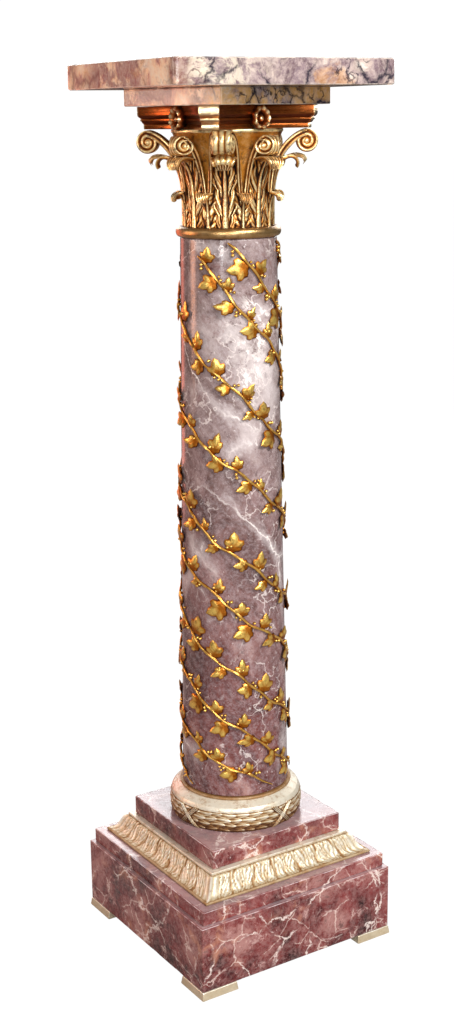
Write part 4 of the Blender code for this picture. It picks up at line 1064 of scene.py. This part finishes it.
def acanthus(angle, shape):
    """A carved acanthus leaf: lobes slant up from a bright rib, and its fluted tip rolls over.

    The lobes follow phase = lobes (share / 0.80 - rise |across|^1.2), a little uneven, with a dark
    eye where two of them part and three flutes on each. The outline is notched where the phase is
    whole at the edge.
    """
    out, up, normal_out, normal_up = leaf_spine(shape)
    share = np.linspace(0.0, 1.0, shape["rows"])[:, None]
    across = np.linspace(-1.0, 1.0, shape["columns"])[None, :]
    side = np.abs(across)
    phase = shape["lobes"] * (share / 0.80 - LOBE_RISE * side ** 1.2) + 0.20
    phase = phase + 0.16 * ripple(3.0 * across + 1.3 * angle, 5.0 * share + 2.1 * angle + 2.0 * across)
    edge_phase = shape["lobes"] * (share / 0.80 - LOBE_RISE) + 0.20
    tip = smooth_step(share, 0.76, 0.83)
    body = 1.0 - tip
    notch = arches(edge_phase + 0.5, 6) * body * smooth_step(share, 0.04, 0.12)
    envelope = 0.90 + 0.10 * np.sin(np.pi * np.clip(share * 1.15, 0.0, 1.0))
    rounding = np.sqrt(np.clip(1.0 - 0.80 * (np.clip(share - 0.80, 0.0, 1.0) / 0.20) ** 2, 0.0, 1.0))
    scallops = 1.0 - 0.20 * notch + 0.05 * (arches(5.0 * edge_phase, 1.0) - 1.0) * body
    aside = shape["width"] / 2 * envelope * rounding * scallops * across
    lobe = arches(phase, 0.5)
    flute = arches(3.0 * phase + 2.4 * side + 0.35 * np.sin(0.9 * angle + 7.0 * share), 0.8)
    outer = smooth_step(side, 0.16, 0.34) * body
    inner = smooth_step(side, 0.12, 0.40) * body
    eye = (1.0 - lobe) ** 1.5 * hill(side, 0.54, 0.26) * body
    rib_width = 0.22 - 0.17 * np.sqrt(share)
    rib = np.exp(-(across / rib_width) ** 4) * (1.0 - 0.4 * share) * body
    groove = hill(side, rib_width + 0.10, 0.06) * body
    shell = arches(3.0 * across + 0.5, 0.7)
    dome = (1.0 - across ** 2) * smooth_step(share, 0.74, 0.90)
    lift = 0.0011 * (lobe - 0.45) * inner + 0.0006 * (flute - 0.5) * outer - 0.0014 * eye
    lift = lift + 0.0020 * rib - 0.0006 * groove + 0.0008 * tip * (0.5 - shell) - 0.0016 * dome
    lift = lift - shape["fold"] * side ** 2.4 * (1.0 - 0.60 * smooth_step(share, 0.35, 0.85))
    distance = LEAF_ROOT_RADIUS + out + lift * normal_out
    level = up + lift * normal_up + 0.0060 * side * smooth_step(share, 0.05, 0.5) * body
    level = level + 0.0016 * smooth_step(share, 0.92, 1.0) * (1.0 - shell)
    depth = 0.0013 + tip * (0.0007 + 0.0011 * shell)
    front = spot(distance, angle, aside, CAPITAL_FOOT + np.maximum(level, 0.0002))
    back = spot(distance - depth * normal_out, angle, aside * 0.985,
                CAPITAL_FOOT + np.maximum(level - depth * normal_up, 0.0002))
    # Painted shade in the eyes, grooves, notches and rims; painted highlight on the rib and lobes.
    relief = 0.36 * (lobe - 0.55) * inner + 0.50 * (flute - 0.5) * outer - 0.9 * eye
    relief = relief + 0.50 * rib - 0.40 * groove + 0.20 * (shell - 0.5) * tip
    relief = relief - 0.25 * side ** 6 - 0.30 * notch * smooth_step(side, 0.6, 0.95)
    relief = relief - 0.15 * smooth_step(share, 0.42, 0.64) * body
    relief = relief - 0.22 * smooth_step(-share, -0.22, 0.0) * smooth_step(side, 0.25, 0.5)
    # The back is painted dark as the shade under the leaf, and bright on the rolled tip as a painted
    # highlight.
    behind = 0.04 + tip * (0.08 + 0.66 * shell)
    return plate(front, back, np.clip(0.47 + 1.35 * relief, 0.0, 1.0), np.clip(behind, 0.0, 1.0))


def volute(angle, shape):
    """A scroll: both faces carry a raised spiral round an eye, the rim is hollow between fillets.

    Spiral phase = (radius - distance) / pitch - turn / 2 pi, from the top, winding inward. The faces
    are splayed: half width = middle half - tan(splay) times the place outward of the middle.
    """
    radius, middle = shape["radius"], shape["width"] / 2
    lean = math.tan(math.radians(shape["splay"]))
    columns = 56
    wound = (np.arange(columns) / columns)[None, ::-1]
    turns = np.pi / 2 - 2 * np.pi * wound
    outer = radius * (1.0 - 0.12 * wound)
    face = np.linspace(0.02, 1.0, 26)[:, None]
    distance = face * outer
    phase = (radius - distance) * 2.35 / radius - wound
    ridge = (0.5 + 0.5 * np.cos(2 * np.pi * phase)) ** 1.1
    eye = np.exp(-(distance / (0.22 * radius)) ** 4)
    height = np.maximum(ridge * smooth_step(distance, 0.10 * radius, 0.35 * radius), eye)
    sunk = -0.0028 + 0.0026 * height + 0.0016 * (1.0 - face) ** 1.5
    rim = np.repeat(np.linspace(0.96, -0.96, 25)[:, None], columns, axis=1)
    flutes = arches(1.5 * rim + 0.5, 0.7)
    distances = np.concatenate((distance, outer * (0.90 + 0.10 * flutes), distance[::-1]))
    shares = np.concatenate((np.ones_like(distance), rim, -np.ones_like(distance)))
    sunk = np.concatenate((sunk, np.zeros_like(rim), -sunk[::-1]))
    face_shade = 0.16 + 0.80 * height ** 0.8
    shade = np.concatenate((face_shade, 0.12 + 0.80 * flutes, face_shade[::-1]))
    half = middle - lean * distances * np.cos(turns)
    points = spot(shape["reach"] + distances * np.cos(turns), angle, shares * half + sunk,
                  CAPITAL_FOOT + shape["height"] + distances * np.sin(turns))
    return closed_tube(points, np.clip(shade, 0.0, 1.0))


def stem(angle, side, shape):
    """A fluted strap that climbs the bell from its cup and bends over onto a scroll.

    outward = wall + (end - wall) share^3.2; level eases out as 1 - (1 - share)^1.5. Its channelled
    face looks out from the bell at the cup and turns into the plane of the scroll's face.
    """
    share = np.linspace(0.0, 1.0, 34)
    end_half = 0.29 * shape["radius"]
    end_aside = shape["width"] / 2 - 0.0032
    end_turn = math.degrees(math.atan2(end_aside, shape["reach"]))
    start = LOWER_LEAF["height"] - 0.0085
    top = shape["height"] + shape["radius"] - end_half
    level = start + (top - start) * (1 - (1 - share) ** 1.5)
    wall = bell_radius(level) + 0.0032
    outward = wall + (math.hypot(end_aside, shape["reach"]) - wall) * share ** 3.2
    turn = side * (end_turn + (STEM_SPREAD - end_turn) * (1 - share) ** 0.85)
    path = spot(outward, angle + turn, 0.0, CAPITAL_FOOT + level)
    splay = math.radians(shape["splay"])
    face_out = math.cos(splay) * side * direction(angle + 90.0) + math.sin(splay) * direction(angle)
    share_face = smooth_step(share, 0.05, 0.65)[:, None]
    facing = (1.0 - share_face) * direction(angle + turn) + share_face * face_out
    width = STEM_WIDTH + (end_half + 0.0004 - STEM_WIDTH) * smooth_step(share, 0.0, 0.75)
    sides = 20
    around = -2 * np.pi * np.arange(sides)[None, :] / sides
    off_face = np.mod(around + np.pi / 2, 2 * np.pi) - np.pi
    channel = hill(off_face, 0.0, 0.42)
    rings, _ = carried_tube(path, facing, width, 0.0021 + 0.0015 * share, sides, -0.42 * channel)
    shade = 0.28 + 0.62 * hill(np.abs(off_face), 0.80, 0.35) - 0.20 * channel
    return closed_tube(rings, np.clip(shade, 0.0, 1.0))


def tongue(angle):
    """The ruffled leaf under a corner scroll: a shallow arch outward, its fluted end rolled down."""
    share = np.linspace(0.0, 1.0, 34)[:, None]
    across = np.linspace(1.0, -1.0, 37)[None, :]
    root = BELL_FOOT_RADIUS + 0.004
    drop = smooth_step(share, 0.84, 1.0)
    lobes = arches(2.0 * across + 0.5, 0.7)
    out = root + (TONGUE_REACH - root) * np.minimum(share, 0.94) / 0.94 + 0.0024 * (lobes - 1.0) * drop
    out = out - 0.0030 * across ** 2 * smooth_step(share, 0.7, 1.0)
    level = CAPITAL_FOOT + TONGUE_LEVEL - 0.0060 * ((share - 0.60) / 0.40) ** 2 - 0.0028 * drop
    level = level + 0.0022 * (lobes - 0.5) * smooth_step(share, 0.25, 0.7) - 0.0030 * across ** 2
    half = TONGUE_HALF_WIDTH * (0.55 + 0.45 * smooth_step(share, 0.30, 0.85)) * (1.0 - 0.20 * drop)
    front = spot(out, angle, half * across, level)
    back = spot(out - 0.0016 * drop, angle, 0.97 * half * across, level - 0.0022)
    relief = 0.36 + 0.50 * lobes * smooth_step(share, 0.2, 0.7) + 0.1 * drop
    relief = np.clip(relief - 0.20 * across ** 4, 0.0, 1.0)
    flat, quads, triangles, shade = plate(front, back, relief, 0.25 + 0.4 * relief)
    return flat, quads[:, ::-1], triangles, shade


def capital_leaves():
    """The two tiers of leaves: eight tall ones, and eight low ones between them."""
    chunks = []
    for k in range(8):
        angle = 45.0 * k + 45.0 + CAPITAL_TURN
        chunks += [acanthus(angle, UPPER_LEAF), acanthus(angle + 22.5, LOWER_LEAF)]
    return chunks


def capital_scrolls():
    """The bell with the straps and scrolls at its corners and faces, and the leaf under each corner."""
    chunks = [bell_chunk()]
    for k in range(8):
        angle = 45.0 * k + 45.0 + CAPITAL_TURN
        shape = CORNER_VOLUTE if k % 2 == 0 else INNER_VOLUTE
        chunks += [volute(angle, shape), stem(angle, 1.0, shape), stem(angle, -1.0, shape)]
        if k % 2 == 0:
            chunks.append(tongue(angle))
    return chunks


def abacus_ring(inset):
    """Plan of the abacus drawn in by an inset: four hollow sides, out = waist + depth share^2, joined
    by cut corners."""
    tip, half_cut, waist = ABACUS_TIP - inset, ABACUS_CUT - 0.25 * inset, ABACUS_WAIST - inset
    share = np.linspace(-1.0, 1.0, ABACUS_SIDE_POINTS)
    outward = waist + ((tip + half_cut) / math.sqrt(2) - waist) * share ** 2
    along = (tip - half_cut) / math.sqrt(2) * share
    return np.concatenate([spot(outward, 90.0 * side + ABACUS_TURN, along, 0.0) for side in range(4)])


def flower(angle, back, level):
    """A flower on one side of the abacus: a rolled wreath of petals round a dark hollow and a bud.

    Rings run from the bud's tip out over the wreath to its back; petals ripple the wreath.
    """
    turn = 2 * np.pi * np.arange(40)[None, :] / 40
    share = np.array((0.03, 0.14, 0.24, 0.32, 0.40, 0.50, 0.60, 0.70, 0.80, 0.90, 0.98, 1.0, 0.9))[:, None]
    rise = np.array((0.72, 0.66, 0.44, 0.16, 0.08, 0.30, 0.68, 0.92, 1.0, 0.86, 0.50, 0.10, -0.5))[:, None]
    petals = 0.5 + 0.5 * np.cos(FLOWER_PETALS * turn)
    swell = smooth_step(share, 0.45, 0.7)
    radius = FLOWER_RADIUS * share * (1.0 + 0.05 * swell * (petals - 0.5))
    outward = FLOWER_DEPTH * rise * (1.0 - 0.16 * swell * (1.0 - petals))
    stretch = 1.14 + 0.12 * np.sin(turn)
    points = spot(back + outward, angle, radius * np.cos(turn), level + radius * stretch * np.sin(turn))
    # Painted shade in the hollow and between the petals, painted highlight on the crest of the wreath.
    relief = 0.05 + 1.05 * np.clip(rise, 0.0, 1.0) ** 0.7 - 0.35 * swell * (1.0 - petals)
    return closed_tube(points[::-1], np.clip(relief, 0.0, 1.0)[::-1])


def abacus_chunks():
    """The abacus: lower fillet, hollow, narrow fillet, hollow and top band, with four flowers."""
    foot = levels_of("abacus")[1] - ABACUS_HEIGHT
    rings = np.stack([abacus_ring(inset) + UP * (foot + share * ABACUS_HEIGHT)
                      for share, inset in ABACUS_SECTION])
    share = np.array(ABACUS_SECTION)[:, :1]
    hollow = ((share > 0.20) & (share < 0.36)) | ((share > 0.455) & (share < 0.60))
    corner = np.tile(np.abs(np.linspace(-1.0, 1.0, ABACUS_SIDE_POINTS)) > 0.999, 4)
    # Painted shade in the two hollows, painted highlight on the cut corners.
    chunks = [closed_tube(rings, np.where(hollow, 0.35, 0.62) + 0.42 * corner)]
    for side in range(4):
        chunks.append(flower(90.0 * side + ABACUS_TURN, ABACUS_WAIST, foot + FLOWER_LEVEL))
    return chunks


def marble_slab(name, node, material, seed, chips, edge=0.0011, corner=0.0014, turn=0.0):
    """A marble slab that fills the square of its node."""
    body = slab(side_of(node, turn) / 2, *levels_of(node), edge, corner, turn, chips=chips, seed=seed)
    make_piece(name, [body], material, node)


def make_object():
    """Every piece of the column, from its feet up, in place of its node."""
    red, mauve, breccia = red_marble(), shaft_marble(), top_marble()
    gilt = {name: gilding(name, *mix) for name, mix in GILT_FINISHES.items()}
    for node in ("foot_front_left", "foot_front_right", "foot_back_left", "foot_back_right"):
        low, high = box_of(node)
        pad = slab((high[0] - low[0]) / 2, low[2], high[2], 0.0009, 0.0012,
                   centre=((low + high) / 2)[:2], draw_in=0.0016)
        make_piece("brass_" + node, [pad], gilt["pale_brass"], node)
    marble_slab("red_block", "base_block", red, 3, 0.0016)
    marble_slab("red_step", "base_step", red, 5, 0.0010)
    marble_slab("red_plinth", "upper_plinth", red, 7, 0.0010)
    cream = gilt["cream_gilt"]
    make_piece("gilt_leaf_moulding", [leaf_moulding_chunk()], cream, "leaf_moulding")
    make_piece("gilt_laurel_ring", [laurel_ring_chunk()], cream, "laurel_ring")
    make_piece("mauve_shaft", [shaft_chunk()], mauve, "shaft")
    for number, strand in enumerate(IVY_STRANDS, start=1):
        make_piece("gilt_ivy_%d" % number, ivy_chunks(number, strand), gilt["ivy_gilt"],
                   "ivy_garland_%d" % number, 38.0)
    make_piece("gilt_neck_ring", [neck_ring_chunk()], gilt["neck_gilt"], "neck_ring")
    make_piece("gilt_capital_scrolls", capital_scrolls(), gilt["leaf_gilt"], "capital")
    make_piece("gilt_capital_leaves", capital_leaves(), gilt["leaf_gilt"], "capital")
    make_piece("gilt_abacus", abacus_chunks(), gilt["abacus_gilt"], "abacus", 40.0)
    marble_slab("breccia_under_slab", "under_slab", breccia, 11, 0.0014, 0.0012, 0.0016,
                UNDER_SLAB_TURN)
    marble_slab("breccia_top_slab", "top_slab", breccia, 13, 0.0014, 0.0016, 0.0060,
                TOP_SLAB_TURN)


def view_space(point):
    """A point given as right of, away from and above the axis's foot in the camera's view."""
    return Matrix.Rotation(math.radians(CAMERA_TURN), 3, "Z") @ Vector(point)


def make_camera():
    """The camera of the photograph, level turned about the axis, then pitched and rolled."""
    pitch, yaw, roll = CAMERA_PITCH, CAMERA_YAW, CAMERA_ROLL
    level = math.cos(pitch)
    forward = Vector((math.sin(yaw) * level, math.cos(yaw) * level, -math.sin(pitch)))
    right = Vector((math.cos(yaw), -math.sin(yaw), 0.0))
    down = forward.cross(right)
    rolled_right = math.cos(roll) * right + math.sin(roll) * down
    rolled_down = -math.sin(roll) * right + math.cos(roll) * down
    axes = [view_space(axis) for axis in (rolled_right, -rolled_down, -forward)]
    place = Matrix(axes).transposed().to_4x4()
    place.translation = view_space((0.0, -CAMERA_DISTANCE, CAMERA_HEIGHT))
    data = bpy.data.cameras.new("photo_view")
    data.sensor_fit = "VERTICAL"
    data.sensor_height = SENSOR_HEIGHT
    data.lens = CAMERA_FOCAL / FRAME_HEIGHT * SENSOR_HEIGHT
    camera = bpy.data.objects.new("photo_view", data)
    bpy.context.scene.collection.objects.link(camera)
    camera.matrix_world = place
    bpy.context.scene.camera = camera


def soft_light(name, place, size, power, colour, target):
    """An oblong area light at a place in the camera's view, aimed at a point over the foot."""
    data = bpy.data.lights.new(name, "AREA")
    data.shape = "RECTANGLE"
    data.size, data.size_y = size
    data.energy = power
    data.color = colour
    light = bpy.data.objects.new(name, data)
    bpy.context.scene.collection.objects.link(light)
    light.location = view_space(place)
    aim = view_space(target) - light.location
    light.rotation_euler = aim.to_track_quat("-Z", "Y").to_euler()


def paper(name):
    """Pale studio paper: bright to the camera with a faint shadow, dim to the object above it."""
    material, tree, shader = new_material(name, 0.75)
    fibres = noise(tree, object_space(tree), 3.0, 2.0)
    fibres = ramp(tree, fibres, ((0.3, 139.45, 136.96, 136.96), (0.7, 146.59, 144.26, 144.26)))
    tree.links.new(fibres, shader.inputs["Base Color"])
    seen = add(tree, "ShaderNodeLightPath").outputs["Is Camera Ray"]
    glow = add(tree, "ShaderNodeEmission", {"Color": (1.0, 1.0, 1.0, 1.0), "Strength": PAPER_GLOW}).outputs[0]
    surface = add(tree, "ShaderNodeMixShader", {0: times(tree, seen, PAPER_GLOW_SHARE), 1: shader.outputs[0],
                                                2: glow}).outputs[0]
    tree.links.new(surface, tree.nodes["Material Output"].inputs["Surface"])
    return material


def make_studio():
    """Pale floor, white surround brighter to the camera than to the object, and the soft lights."""
    bpy.ops.mesh.primitive_plane_add(size=60.0, location=(0.0, 0.0, 0.0))
    floor = bpy.context.object
    floor.name = "studio_floor"
    floor.data.materials.append(paper("studio_paper"))
    world = bpy.data.worlds.new("studio")
    bpy.context.scene.world = world
    world.use_nodes = True
    tree = world.node_tree
    seen = add(tree, "ShaderNodeLightPath").outputs["Is Camera Ray"]
    background = tree.nodes["Background"]
    background.inputs["Color"].default_value = (1.0, 1.0, 1.0, 1.0)
    strength = maths(tree, "MULTIPLY_ADD", seen, WORLD_SEEN - WORLD_DIM, WORLD_DIM)
    tree.links.new(strength, background.inputs["Strength"])
    for light in LIGHTS:
        soft_light(*light)
    bpy.context.scene.view_settings.view_transform = "Standard"


make_camera()
make_studio()
make_object()
